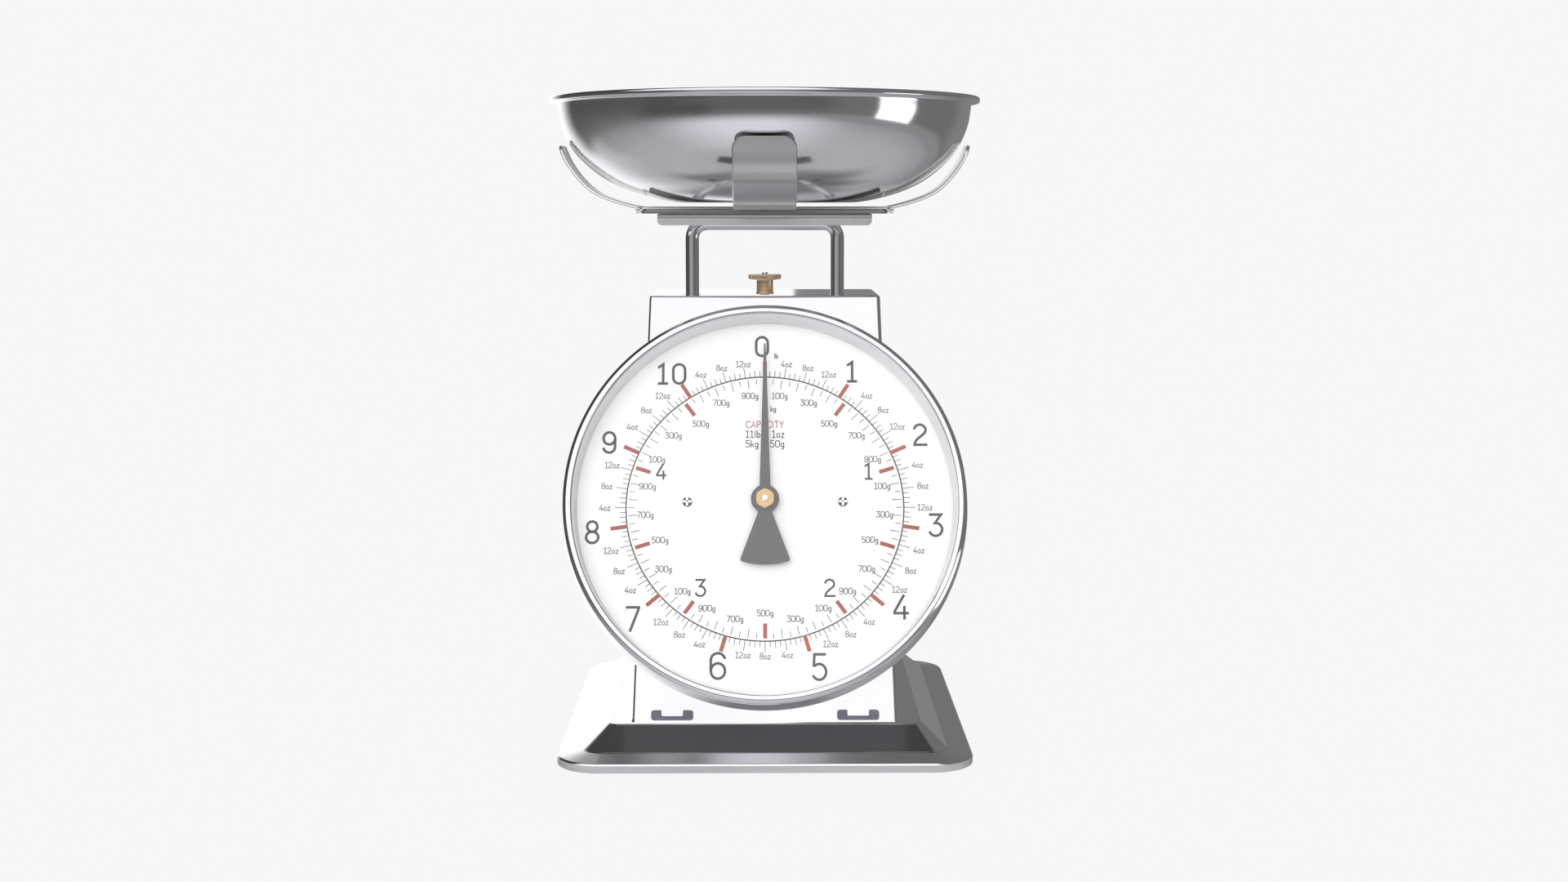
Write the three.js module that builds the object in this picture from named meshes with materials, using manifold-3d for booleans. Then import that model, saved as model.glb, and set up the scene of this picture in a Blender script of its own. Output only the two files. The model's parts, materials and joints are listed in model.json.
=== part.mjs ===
// Dial kitchen scale: a bowl on a strap cradle, a rod yoke, a tapered housing with a leaning dial,
// and a stamped base.
// Millimetres, +Z up, the dial faces -Y, the origin is the centre of the footprint at table height.
import * as THREE from "three";
import { mergeVertices } from "three/addons/utils/BufferGeometryUtils.js";
import Module from "manifold-3d";

const wasm = await Module();
wasm.setup();

// Driving dimensions
const GAP = 0.3; // between touching pieces
const LEAN = THREE.MathUtils.degToRad(18); // housing front and dial, from vertical
const BASE_HALF_X = 106;
const BASE_HALF_Y = 115;
const BASE_LIFT = 1; // rubber feet hold the rim this far off the table
const BASE_SHEET = 1.2;
const BASE_TOP = 18;
const HOUSING_BOTTOM = BASE_TOP + GAP;
const HOUSING_TOP = 234;
const HOUSING_SHEET = 1.2;
const HOUSING_FRONT_LOW = -84.4; // outer front face at the bottom
const HOUSING_FRONT_HIGH = -14.3; // and at the top
const HOUSING_BACK = 67.5;
const HOUSING_HALF_LOW = 68.5;
const HOUSING_HALF_HIGH = 61.9;
const ROD_RADIUS = 3.7;
const LEG_X = 39.3;
const YOKE_BEND = 8.1;
const YOKE_BAR_Z = 272.5;
const LEG_SHOULDER_Z = 152.6;
const TRAVEL = 15.8; // full load movement
const DIAL_Z = 124.8; // where the drum's axis meets the housing front
const AXIS_UP = 3.3; // pointer axis above the drum's axis
const SCREW_UP = 2.4; // dial screws above the drum's axis
const DRUM_DEPTH = 22;
const DRUM_BACK_RADIUS = 106.4;
const DIAL_RADIUS = 98.6;
const SHAFT_RADIUS = 1.5;
const SHAFT_BORE = 1.55;
const GEAR_MODULE = 0.35;
const PINION_TEETH = 14;
const PRESSURE_ANGLE = THREE.MathUtils.degToRad(25);
const BACKLASH = 0.12;
const PINION_RADIUS = (GEAR_MODULE * PINION_TEETH) / 2;
const PINION_AT = -51.7; // centre of the pinion behind the housing front, along the shaft
const BOWL_RADIUS = 115.2;
const BOWL_FLOOR = 283.7;
const BOWL_RIM = 339.4;
const STRAP_HALF = 16;
const STRAP_THICK = 1.7;

// Materials, one per finish
const finish = {
  steel: { color: 0xc9cbce, metalness: 1, roughness: 0.25 },
  polished: { color: 0xd8d9dc, metalness: 1, roughness: 0.12 },
  zinc: { color: 0xa9adb0, metalness: 1, roughness: 0.45 },
  brass: { color: 0xb5853c, metalness: 1, roughness: 0.3 },
  black: { color: 0x55565a, metalness: 0, roughness: 0.5 },
  white: { color: 0xf7f7f5, metalness: 0, roughness: 0.5 },
  rubber: { color: 0x2a2a2c, metalness: 0, roughness: 0.9 },
  plastic: { color: 0xe9e9e4, metalness: 0, roughness: 0.5 },
  clear: { color: 0xffffff, metalness: 0, roughness: 0.02, transparent: true, opacity: 0.15 },
};

// Solids

function solid(geometry) {
  const bare = geometry.index ? geometry.toNonIndexed() : geometry.clone();
  for (const key of Object.keys(bare.attributes)) {
    if (key !== "position") bare.deleteAttribute(key);
  }
  const merged = mergeVertices(bare, 1e-3);
  return new wasm.Manifold(
    new wasm.Mesh({
      numProp: 3,
      vertProperties: merged.attributes.position.array,
      triVerts: new Uint32Array(merged.index.array),
    }),
  );
}

function toGeometry(shape) {
  const mesh = shape.getMesh();
  const position = new Float32Array(mesh.numVert * 3);
  for (let i = 0; i < mesh.numVert; i++) {
    const at = i * mesh.numProp;
    position.set(mesh.vertProperties.subarray(at, at + 3), i * 3);
  }
  const geometry = new THREE.BufferGeometry();
  geometry.setAttribute("position", new THREE.BufferAttribute(position, 3));
  geometry.setIndex(new THREE.BufferAttribute(new Uint32Array(mesh.triVerts), 1));
  return geometry;
}

const root = new THREE.Group();
root.name = "dial_kitchen_scale";

// The dial group's own Z is the dial's outward normal and its own Y points up the dial.
const dial = new THREE.Group();
dial.name = "dial_assembly";
dial.rotation.x = Math.PI / 2 - LEAN;
dial.position.set(0, frontFaceY(DIAL_Z), DIAL_Z);
root.add(dial);
dial.updateMatrixWorld(true);

function add(name, shape, look, parent = root) {
  const geometry = shape.isBufferGeometry ? shape : toGeometry(shape);
  const mesh = new THREE.Mesh(geometry, new THREE.MeshStandardMaterial(finish[look]));
  mesh.name = name;
  parent.add(mesh);
  return mesh;
}

function inWorld(shape) {
  return shape.transform(dial.matrixWorld.toArray());
}

function frontFaceY(z) {
  return HOUSING_FRONT_LOW + (z - HOUSING_BOTTOM) * Math.tan(LEAN);
}

function box(x0, x1, y0, y1, z0, z1) {
  const geometry = new THREE.BoxGeometry(x1 - x0, y1 - y0, z1 - z0);
  geometry.translate((x0 + x1) / 2, (y0 + y1) / 2, (z0 + z1) / 2);
  return solid(geometry);
}

// Cylinder standing on z0 along Z
function rod(radius, z0, z1, x = 0, y = 0, sides = 20) {
  const geometry = new THREE.CylinderGeometry(radius, radius, z1 - z0, sides);
  geometry.rotateX(Math.PI / 2);
  geometry.translate(x, y, (z0 + z1) / 2);
  return solid(geometry);
}

// Body of revolution about Z from a closed outline of [radius, z]
function turned(outline, sides = 32) {
  const points = outline.map(([r, z]) => new THREE.Vector2(r, z));
  points.push(points[0].clone());
  const geometry = new THREE.LatheGeometry(points, sides);
  geometry.rotateX(Math.PI / 2);
  const made = solid(geometry);
  if (made.volume() > 0) return made;
  points.reverse();
  const other = new THREE.LatheGeometry(points, sides);
  other.rotateX(Math.PI / 2);
  return solid(other);
}

function ring(inner, outer, z0, z1, sides = 32) {
  return turned([[inner, z0], [outer, z0], [outer, z1], [inner, z1]], sides);
}

function extruded(outline, depth) {
  const shape = new THREE.Shape(outline.map(([x, y]) => new THREE.Vector2(x, y)));
  return new THREE.ExtrudeGeometry(shape, { depth, bevelEnabled: false });
}

// The line of points moved to its left by a distance
function offsetLine(line, by) {
  return line.map(([x, z], i) => {
    const [ax, az] = line[Math.max(i - 1, 0)];
    const [bx, bz] = line[Math.min(i + 1, line.length - 1)];
    const length = Math.hypot(bx - ax, bz - az);
    return [x - ((bz - az) / length) * by, z + ((bx - ax) / length) * by];
  });
}

function roundedRectangle(halfX, halfY, radius, perCorner) {
  const points = [];
  const corners = [
    [1, 1, 0],
    [-1, 1, 90],
    [-1, -1, 180],
    [1, -1, 270],
  ];
  for (const [sx, sy, start] of corners) {
    for (let i = 0; i <= perCorner; i++) {
      const angle = THREE.MathUtils.degToRad(start + (90 * i) / perCorner);
      points.push([
        sx * (halfX - radius) + radius * Math.cos(angle),
        sy * (halfY - radius) + radius * Math.sin(angle),
      ]);
    }
  }
  return points;
}

// Stack of rounded rectangles, one per level, joined into one solid
function loft(levels, radius, perCorner) {
  const first = levels[0];
  const outline = roundedRectangle(first.x, first.y, radius, perCorner);
  const shape = new THREE.Shape(outline.map(([x, y]) => new THREE.Vector2(x, y)));
  const steps = levels.length - 1;
  const geometry = new THREE.ExtrudeGeometry(shape, { depth: steps, steps, bevelEnabled: false });
  const position = geometry.attributes.position;
  for (let i = 0; i < position.count; i++) {
    const level = levels[Math.round(position.getZ(i))];
    const x = (position.getX(i) * level.x) / first.x;
    const y = (position.getY(i) * level.y) / first.y + (level.shift ?? 0);
    position.setXYZ(i, x, y, level.z);
  }
  return solid(geometry);
}

// Path that visits the given points exactly, for extruding round wire along it
class Polyline extends THREE.Curve {
  constructor(points) {
    super();
    this.points = points;
  }
  getPoint(t, target = new THREE.Vector3()) {
    const last = this.points.length - 1;
    const at = Math.min(Math.max(t, 0), 1) * last;
    const i = Math.min(Math.floor(at), last - 1);
    return target.lerpVectors(this.points[i], this.points[i + 1], at - i);
  }
  getPointAt(u, target) {
    return this.getPoint(u, target);
  }
  getTangent(t, target = new THREE.Vector3()) {
    const last = this.points.length - 1;
    const i = Math.round(Math.min(Math.max(t, 0), 1) * last);
    const before = this.points[Math.max(i - 1, 0)];
    const after = this.points[Math.min(i + 1, last)];
    return target.subVectors(after, before).normalize();
  }
  getTangentAt(u, target) {
    return this.getTangent(u, target);
  }
}

function wire(points, radius, sides) {
  const shape = new THREE.Shape();
  for (let i = 0; i < sides; i++) {
    const angle = (2 * Math.PI * i) / sides;
    const x = radius * Math.cos(angle);
    const y = radius * Math.sin(angle);
    if (i === 0) shape.moveTo(x, y);
    else shape.lineTo(x, y);
  }
  shape.closePath();
  const extrudePath = new Polyline(points);
  const steps = points.length - 1;
  return new THREE.ExtrudeGeometry(shape, { steps, extrudePath, bevelEnabled: false });
}

// Base: one stamped sheet, with a low rim, a sloping flange and a raised platform
const rimTop = BASE_LIFT + 3.2;
function baseBody(inset) {
  const drop = inset > 0 ? BASE_SHEET : 0;
  const low = inset > 0 ? -1 : BASE_LIFT;
  const levels = [
    { z: low, x: BASE_HALF_X - inset, y: BASE_HALF_Y - inset },
    { z: rimTop - drop - 0.8, x: BASE_HALF_X - inset, y: BASE_HALF_Y - inset },
    { z: rimTop - drop, x: BASE_HALF_X - inset - 0.9, y: BASE_HALF_Y - inset - 0.9 },
    { z: 6.6 - drop, x: 93.5, y: 101.5 },
    { z: 7.2 - drop, x: 92.2, y: 100 },
    { z: BASE_TOP - 0.6 - drop, x: 80.6 - inset * 0.6, y: 86.9 - inset * 0.6 },
    { z: BASE_TOP - drop, x: 79.8 - inset * 0.6, y: 86.1 - inset * 0.6 },
  ];
  return loft(levels, 22, 6);
}
const footSpots = [
  [-90, -98.5],
  [90, -98.5],
  [-90, 98.5],
  [90, 98.5],
];
const baseScrewSpots = [
  [-58, -60],
  [58, -60],
  [-58, 48],
  [58, 48],
];
let base = baseBody(0).subtract(baseBody(BASE_SHEET));
for (const [x, y] of baseScrewSpots) {
  base = base.subtract(rod(2.3, 10, 20, x, y, 12));
}
add("base", base, "steel");

const cavity = baseBody(BASE_SHEET).translate([0, 0, -GAP]);
const footNames = ["front_left", "front_right", "rear_left", "rear_right"];
footSpots.forEach(([x, y], i) => {
  const pad = turned([[0, 0], [7.6, 0], [8.4, 0.8], [8.4, 9], [0, 9]], 20).translate([x, y, 0]);
  add("foot_" + footNames[i], pad.intersect(cavity), "rubber");
});

// Housing: front, sides and top bent from one sheet, with inward flanges at the bottom and the back
function housingBody(inset, low, high, back) {
  const middle = (z) => (frontFaceY(z) + inset / Math.cos(LEAN) + back) / 2;
  const halfY = (z) => (back - frontFaceY(z) - inset / Math.cos(LEAN)) / 2;
  const halfX = (z) => {
    const share = (z - HOUSING_BOTTOM) / (HOUSING_TOP - HOUSING_BOTTOM);
    return HOUSING_HALF_LOW + (HOUSING_HALF_HIGH - HOUSING_HALF_LOW) * share - inset;
  };
  const level = (z, trim) => ({
    z,
    x: halfX(z) - trim,
    y: halfY(z) - trim,
    shift: middle(z),
  });
  const levels = [level(low, 0), level(high - 0.9, 0), level(high, 0.9)];
  return loft(levels, 3, 2);
}
const shellOut = housingBody(0, HOUSING_BOTTOM, HOUSING_TOP, HOUSING_BACK);
const shellIn = housingBody(
  HOUSING_SHEET,
  HOUSING_BOTTOM + HOUSING_SHEET,
  HOUSING_TOP - HOUSING_SHEET,
  HOUSING_BACK - HOUSING_SHEET,
);
let housing = shellOut.subtract(shellIn);
// the openings left inside the bottom and back flanges
housing = housing.subtract(box(-50, 50, -68, 40, 10, 25));
const backOpening = extruded([[-52, 30], [52, 30], [47, 222], [-47, 222]], 20);
backOpening.rotateX(Math.PI / 2);
housing = housing.subtract(solid(backOpening.translate(0, HOUSING_BACK + 10, 0)));
// holes in the top for the yoke legs and the zero screw
for (const side of [-1, 1]) {
  housing = housing.subtract(rod(5.3, HOUSING_TOP - 5, HOUSING_TOP + 5, side * LEG_X, 0, 24));
}
housing = housing.subtract(rod(3, HOUSING_TOP - 5, HOUSING_TOP + 5, 0, 0, 16));
// slots low on the front, each with a tongue left hanging from its upper edge
function slotCutter(x) {
  const half = 10.9;
  const low = 0.2;
  const high = 5.9;
  const tongue = 5.5;
  const tip = 2.7;
  const corner = 1.8;
  const outline = [
    [x - half, low],
    [x + half, low],
    [x + half, high - corner],
    [x + half - corner, high],
    [x + tongue + 0.6, high],
    [x + tongue, tip + 0.6],
    [x + tongue - 0.6, tip],
    [x - tongue + 0.6, tip],
    [x - tongue, tip + 0.6],
    [x - tongue - 0.6, high],
    [x - half + corner, high],
    [x - half, high - corner],
  ];
  const geometry = extruded(outline, 12);
  geometry.rotateX(Math.PI / 2);
  geometry.translate(0, HOUSING_FRONT_LOW + 8, HOUSING_BOTTOM);
  return solid(geometry);
}
for (const x of [-47.9, 47.9]) housing = housing.subtract(slotCutter(x));
// holes in the front for the shaft bush and the dial screws
const DIAL_SCREW_X = 40.8;
housing = housing.subtract(inWorld(rod(4.4, -10, 10, 0, AXIS_UP, 20)));
for (const side of [-1, 1]) {
  const hole = rod(1.9, -10, 10, side * DIAL_SCREW_X, SCREW_UP, 12);
  housing = housing.subtract(inWorld(hole));
}
const rearScrewSpots = [
  [-58, 32],
  [58, 32],
  [-54, 216],
  [54, 216],
];
for (const [x, z] of rearScrewSpots) {
  const hole = rod(1.5, -10, 10, 0, 0, 12).rotate([90, 0, 0]).translate([x, HOUSING_BACK, z]);
  housing = housing.subtract(hole);
}
for (const [x, y] of baseScrewSpots) {
  housing = housing.subtract(rod(1.8, 15, 25, x, y, 12));
}
add("housing", housing, "polished");

const coverOutline = [[-63.5, 22], [63.5, 22], [58.2, 228], [-58.2, 228]];
const coverSheet = extruded(coverOutline, HOUSING_SHEET);
coverSheet.rotateX(Math.PI / 2);
coverSheet.translate(0, HOUSING_BACK + GAP + HOUSING_SHEET, 0);
let rearCover = solid(coverSheet);
const coverBack = HOUSING_BACK + GAP + HOUSING_SHEET;
rearScrewSpots.forEach(([x, z], i) => {
  const hole = rod(1.9, -10, 10, 0, 0, 12).rotate([90, 0, 0]).translate([x, coverBack, z]);
  rearCover = rearCover.subtract(hole);
  const head = turned([[0, -6], [1.2, -6], [1.2, GAP], [3, GAP], [2.4, 1.9], [0, 2.1]], 14);
  const screw = head.rotate([-90, 0, 0]).translate([x, coverBack, z]);
  add("rear_screw_" + (i + 1), screw, "zinc");
});
add("rear_cover", rearCover, "steel");

baseScrewSpots.forEach(([x, y], i) => {
  const under = BASE_TOP - BASE_SHEET - GAP;
  const screw = turned(
    [
      [0, under - 1.9],
      [3.2, under - 1.7],
      [3.2, under],
      [1.5, under],
      [1.5, 24],
      [0, 24],
    ],
    14,
  );
  add("base_screw_" + (i + 1), screw.translate([x, y, 0]), "zinc");
});

// Zero adjustment: brass knob and screw, and the hanger that its thread raises
const knobFoot = HOUSING_TOP + GAP;
const knob = turned(
  [
    [0, 212],
    [2.1, 212],
    [2.5, 212.6],
    [2.5, knobFoot],
    [4.6, knobFoot],
    [4.6, 241.6],
    [8.4, 242.3],
    [8.9, 242.8],
    [8.9, 244.5],
    [8.4, 245],
    [1.6, 245],
    [1.6, 246.3],
    [0, 246.3],
  ],
  24,
);
add("zero_knob", knob, "brass");

const HANGER_LOW = 217;
const HANGER_HIGH = 222;
const SPRING_X = 20;
let hanger = box(-45, 45, -6, 6, HANGER_LOW, HANGER_HIGH);
for (const side of [-1, 1]) {
  hanger = hanger.subtract(rod(4.3, 210, 230, side * LEG_X, 0, 20));
  hanger = hanger.subtract(
    box(Math.min(side * LEG_X, side * 50), Math.max(side * LEG_X, side * 50), -4.3, 4.3, 210, 230),
  );
  const lug = box(side * SPRING_X - 4.5, side * SPRING_X + 4.5, -1, 1, 209, HANGER_LOW + 0.5);
  const eye = rod(1.9, -5, 5, 0, 0, 14).rotate([90, 0, 0]).translate([side * SPRING_X, 0, 212.4]);
  hanger = hanger.add(lug.subtract(eye));
}
hanger = hanger.subtract(rod(2.8, 200, 230, 0, 0, 20));
add("spring_hanger", hanger, "zinc");

// Load carriage: the yoke and everything that hangs from it
const yokeTurn = 6;
function yokePath(top) {
  const points = [new THREE.Vector3(-LEG_X, 0, LEG_SHOULDER_Z)];
  const straight = top - YOKE_BEND;
  for (const z of [190, 230, straight]) points.push(new THREE.Vector3(-LEG_X, 0, z));
  for (let i = 1; i <= yokeTurn; i++) {
    const angle = (Math.PI / 2) * (i / yokeTurn);
    const x = -LEG_X + YOKE_BEND * (1 - Math.cos(angle));
    points.push(new THREE.Vector3(x, 0, straight + YOKE_BEND * Math.sin(angle)));
  }
  const mirrored = points.map((p) => new THREE.Vector3(-p.x, 0, p.z)).reverse();
  return points.concat(mirrored);
}
let yoke = solid(wire(yokePath(YOKE_BAR_Z), ROD_RADIUS, 16));
for (const side of [-1, 1]) {
  yoke = yoke.add(rod(2.4, 139.5, LEG_SHOULDER_Z + 1, side * LEG_X, 0, 14));
  // groove for the stop clip
  yoke = yoke.subtract(ring(2.95, 5, 171.9, 173.6, 16).translate([side * LEG_X, 0, 0]));
}
add("support_yoke", yoke, "polished");

const barTop = YOKE_BAR_Z + ROD_RADIUS;
const channelTop = barTop + GAP + 1.1;
const channelHalfX = 57.2;
const channelHalfY = 17;
const RIVET_Y = 11;
const channelFace = extruded(
  [
    [-channelHalfX, channelTop],
    [-channelHalfX, 273],
    [-channelHalfX + 0.5, 272],
    [-channelHalfX + 1.5, 271.6],
    [channelHalfX - 1.5, 271.6],
    [channelHalfX - 0.5, 272],
    [channelHalfX, 273],
    [channelHalfX, channelTop],
  ],
  2 * channelHalfY,
);
channelFace.rotateX(Math.PI / 2);
channelFace.translate(0, channelHalfY, 0);
let channel = solid(channelFace);
channel = channel.subtract(
  box(-100, 100, -channelHalfY + 1.1, channelHalfY - 1.1, 260, channelTop - 1.1),
);

const plateLow = channelTop + GAP;
const plateHigh = plateLow + 1.6;
const plateOutline = roundedRectangle(64.8, 30, 3, 3);
const plateShape = extruded(plateOutline, plateHigh - plateLow);
let plate = solid(plateShape.translate(0, 0, plateLow));

// Strap bent up at both ends round the bowl: [distance from the centre, height] of its lower face
const armProfile = [
  [66.5, 0.3],
  [80.6, 3.9],
  [91.5, 8.7],
  [99.4, 15.8],
  [106.3, 25.4],
  [109.7, 33.8],
];
const ARM_TOP = 34.9;
function strap(low) {
  const right = [[58, 0], ...armProfile];
  const lower = [];
  for (const [x, z] of [...right].reverse()) lower.push([-x, low + z]);
  for (const [x, z] of right) lower.push([x, low + z]);
  const upper = offsetLine(lower, STRAP_THICK);
  const geometry = extruded([...lower, ...upper.reverse()], 2 * STRAP_HALF);
  geometry.rotateX(Math.PI / 2);
  geometry.translate(0, STRAP_HALF, 0);
  // rounded ends, seen along the strap
  const end = roundedRectangle(STRAP_HALF, 60, 5.3, 3);
  const keep = extruded(end, 300);
  keep.rotateX(Math.PI / 2);
  keep.rotateZ(Math.PI / 2);
  keep.translate(-150, 0, low + ARM_TOP - 60);
  return solid(geometry).intersect(solid(keep));
}
const sideLow = plateHigh + GAP;
let sideStrap = strap(sideLow);
const frontLow = sideLow + STRAP_THICK + GAP;
let frontStrap = strap(frontLow).rotate([0, 0, 90]);
for (const side of [-1, 1]) {
  const through = rod(2.2, 265, 300, 0, side * RIVET_Y, 14);
  channel = channel.subtract(through);
  plate = plate.subtract(through);
  sideStrap = sideStrap.subtract(through);
  frontStrap = frontStrap.subtract(rod(4.1, 265, 300, 0, side * RIVET_Y, 16));
  const rivetTop = frontLow + STRAP_THICK - 0.2;
  const rivet = turned(
    [
      [0, channelTop - 2.6],
      [3.2, channelTop - 2.6],
      [3.2, channelTop - 1.1 - GAP],
      [1.9, channelTop - 1.1 - GAP],
      [1.9, frontLow],
      [3.8, frontLow],
      [3.8, rivetTop],
      [0, rivetTop],
    ],
    16,
  );
  const name = side < 0 ? "cradle_rivet_front" : "cradle_rivet_rear";
  add(name, rivet.translate([0, side * RIVET_Y, 0]), "steel");
}
add("yoke_channel", channel, "steel");
add("cradle_plate", plate, "steel");
add("cradle_strap_side", sideStrap, "steel");
add("cradle_strap_front", frontStrap, "steel");

// Bowl: spun sheet with a rolled rim, resting on the crossed straps
const BOWL_SHEET = 1.1;
const bowlOuter = [
  [0, BOWL_FLOOR],
  [47, BOWL_FLOOR],
  [52, BOWL_FLOOR + 0.4],
  [60, 285.5],
  [70, 288.2],
  [78, 291.2],
  [85, 294.8],
  [91, 299],
  [96.4, 303.8],
  [101, 308.8],
  [104.9, 314.8],
  [107.7, 320.8],
  [109.6, 327.4],
  [110.6, 335.2],
];
const rim = [
  [111.4, 336.2],
  [114.2, 336.1],
  [115.1, 336.9],
  [BOWL_RADIUS, 338.4],
  [114.4, BOWL_RIM],
  [111.4, BOWL_RIM],
  [109.8, 338.4],
];
const bowlInner = offsetLine(bowlOuter, BOWL_SHEET).reverse();
const bowl = turned([...bowlOuter, ...rim, ...bowlInner], 44);
add("bowl", bowl, "polished");

// Below the housing top: guides, stop clips, load bar, rack
for (const side of [-1, 1]) {
  const word = side < 0 ? "left" : "right";
  const x = side * LEG_X;
  const bush = turned(
    [
      [ROD_RADIUS + 0.08, 226.5],
      [5, 226.5],
      [5, 230.6],
      [7, 230.6],
      [7, 232.4],
      [5, 232.4],
      [5, HOUSING_TOP - 0.1],
      [ROD_RADIUS + 0.08, HOUSING_TOP - 0.1],
    ],
    18,
  );
  add("rod_bush_" + word, bush.translate([x, 0, 0]), "plastic");
  const wallX = side * 61.9;
  let bracket = box(Math.min(side * 32, wallX), Math.max(side * 32, wallX), -9, 9, 175, 176.6);
  bracket = bracket.add(
    box(Math.min(side * 60.3, wallX), Math.max(side * 60.3, wallX), -9, 9, 175, 190),
  );
  bracket = bracket.intersect(shellIn).translate([-side * GAP, 0, 0]);
  bracket = bracket.subtract(rod(ROD_RADIUS + 0.1, 170, 180, x, 0, 24));
  add("guide_bracket_" + word, bracket, "zinc");
  let clip = ring(3.05, 6.3, 172.2, 173.3, 20);
  clip = clip.subtract(box(0, 10, -1.7, 1.7, 170, 176));
  add("stop_clip_" + word, clip.translate([x, 0, 0]), "zinc");
  const nut = solid(new THREE.CylinderGeometry(4.6, 4.6, 4, 6).rotateX(Math.PI / 2));
  const nutZ = 143.9;
  const nutSolid = nut.translate([x, 0, nutZ]).subtract(rod(2.6, 130, 150, x, 0, 14));
  add("leg_nut_" + word, nutSolid, "zinc");
}

const BAR_LOW = 146.3;
const BAR_HIGH = LEG_SHOULDER_Z - GAP;
let loadBar = box(-46, 46, -6, 6, BAR_LOW, BAR_HIGH);
for (const side of [-1, 1]) {
  loadBar = loadBar.subtract(rod(2.7, 140, 160, side * LEG_X, 0, 16));
  const lug = box(side * SPRING_X - 4.5, side * SPRING_X + 4.5, -1, 1, BAR_HIGH - 0.5, 160.5);
  const eye = rod(1.9, -5, 5, 0, 0, 14).rotate([90, 0, 0]).translate([side * SPRING_X, 0, 157]);
  loadBar = loadBar.add(lug.subtract(eye));
}

// Pinion and rack teeth, in the dial group's frame with the shaft's axis at x = 0, y = AXIS_UP
const pitch = Math.PI * GEAR_MODULE;
const addendum = 0.8 * GEAR_MODULE;
const dedendum = 1.1 * GEAR_MODULE;
function pinionOutline() {
  const points = [];
  const baseRadius = PINION_RADIUS * Math.cos(PRESSURE_ANGLE);
  const involute = (r) => {
    const angle = Math.acos(Math.min(baseRadius / r, 1));
    return Math.tan(angle) - angle;
  };
  const half = Math.PI / (2 * PINION_TEETH) - BACKLASH / (4 * PINION_RADIUS);
  const rootRadius = PINION_RADIUS - dedendum;
  const flank = [];
  const steps = 4;
  for (let i = 0; i <= steps; i++) {
    const start = Math.max(baseRadius, rootRadius);
    const r = start + ((PINION_RADIUS + addendum - start) * i) / steps;
    flank.push([r, half + involute(PINION_RADIUS) - involute(r)]);
  }
  for (let tooth = 0; tooth < PINION_TEETH; tooth++) {
    const centre = (2 * Math.PI * tooth) / PINION_TEETH;
    const side = [[rootRadius, flank[0][1]], ...flank];
    for (const [r, a] of side) points.push([r * Math.cos(centre - a), r * Math.sin(centre - a)]);
    for (const [r, a] of [...side].reverse()) {
      points.push([r * Math.cos(centre + a), r * Math.sin(centre + a)]);
    }
  }
  return points;
}
const PINION_LENGTH = 12;
const pinionTeeth = solid(extruded(pinionOutline(), PINION_LENGTH)).translate([
  0,
  AXIS_UP,
  PINION_AT - PINION_LENGTH / 2,
]);
const SHAFT_BACK = -67;
const SHAFT_FRONT = 11.2;
let shaft = rod(SHAFT_RADIUS, SHAFT_BACK, SHAFT_FRONT, 0, AXIS_UP, 24);
shaft = shaft.add(pinionTeeth);
add("pinion_shaft", shaft, "brass", dial);

// Rack: a vertical bar whose teeth run parallel to the leaning shaft
function rackOutline(below, above) {
  const points = [];
  const slope = Math.tan(PRESSURE_ANGLE);
  const half = pitch / 4 - BACKLASH / 4;
  const rootX = PINION_RADIUS + dedendum;
  const tipX = PINION_RADIUS - addendum;
  const low = -below - 2.2;
  points.push([rootX + 4, low]);
  points.push([rootX, low]);
  points.push([rootX, -below]);
  for (let i = Math.ceil(-below / pitch); i * pitch < above; i++) {
    const y = (i + 0.5) * pitch;
    points.push([rootX, y - half - dedendum * slope]);
    points.push([tipX, y - half + addendum * slope]);
    points.push([tipX, y + half - addendum * slope]);
    points.push([rootX, y + half + dedendum * slope]);
  }
  points.push([rootX, above + 60]);
  points.push([rootX + 4, above + 60]);
  return points.reverse();
}
const rackBar = solid(extruded(rackOutline(4.4, TRAVEL * Math.cos(LEAN) + 3.6), 90)).translate([
  0,
  AXIS_UP,
  PINION_AT - 45,
]);
const rackTop = BAR_LOW - GAP;
const axisPoint = new THREE.Vector3(0, AXIS_UP, PINION_AT).applyMatrix4(dial.matrixWorld);
const rackWindow = box(0, 20, axisPoint.y - 4, axisPoint.y + 4, 98, rackTop);
const rackFoot = box(2.9, 16.5, axisPoint.y - 4, axisPoint.y + 4, rackTop - 1.6, rackTop);
const RACK_SCREW_X = 12.4;
let rack = inWorld(rackBar).intersect(rackWindow).add(rackFoot);
rack = rack.subtract(rod(1.6, 130, 160, RACK_SCREW_X, 0, 12));
add("rack", rack, "brass");
loadBar = loadBar.subtract(rod(1.5, 140, 160, RACK_SCREW_X, 0, 12));
add("load_bar", loadBar, "zinc");
const rackUnder = rackTop - 1.6 - GAP;
const rackScrew = turned(
  [
    [0, rackUnder - 1.8],
    [2.6, rackUnder - 1.8],
    [2.6, rackUnder],
    [1.2, rackUnder],
    [1.2, 151.8],
    [0, 151.8],
  ],
  14,
);
add("rack_screw", rackScrew.translate([RACK_SCREW_X, 0, 0]), "zinc");

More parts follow.
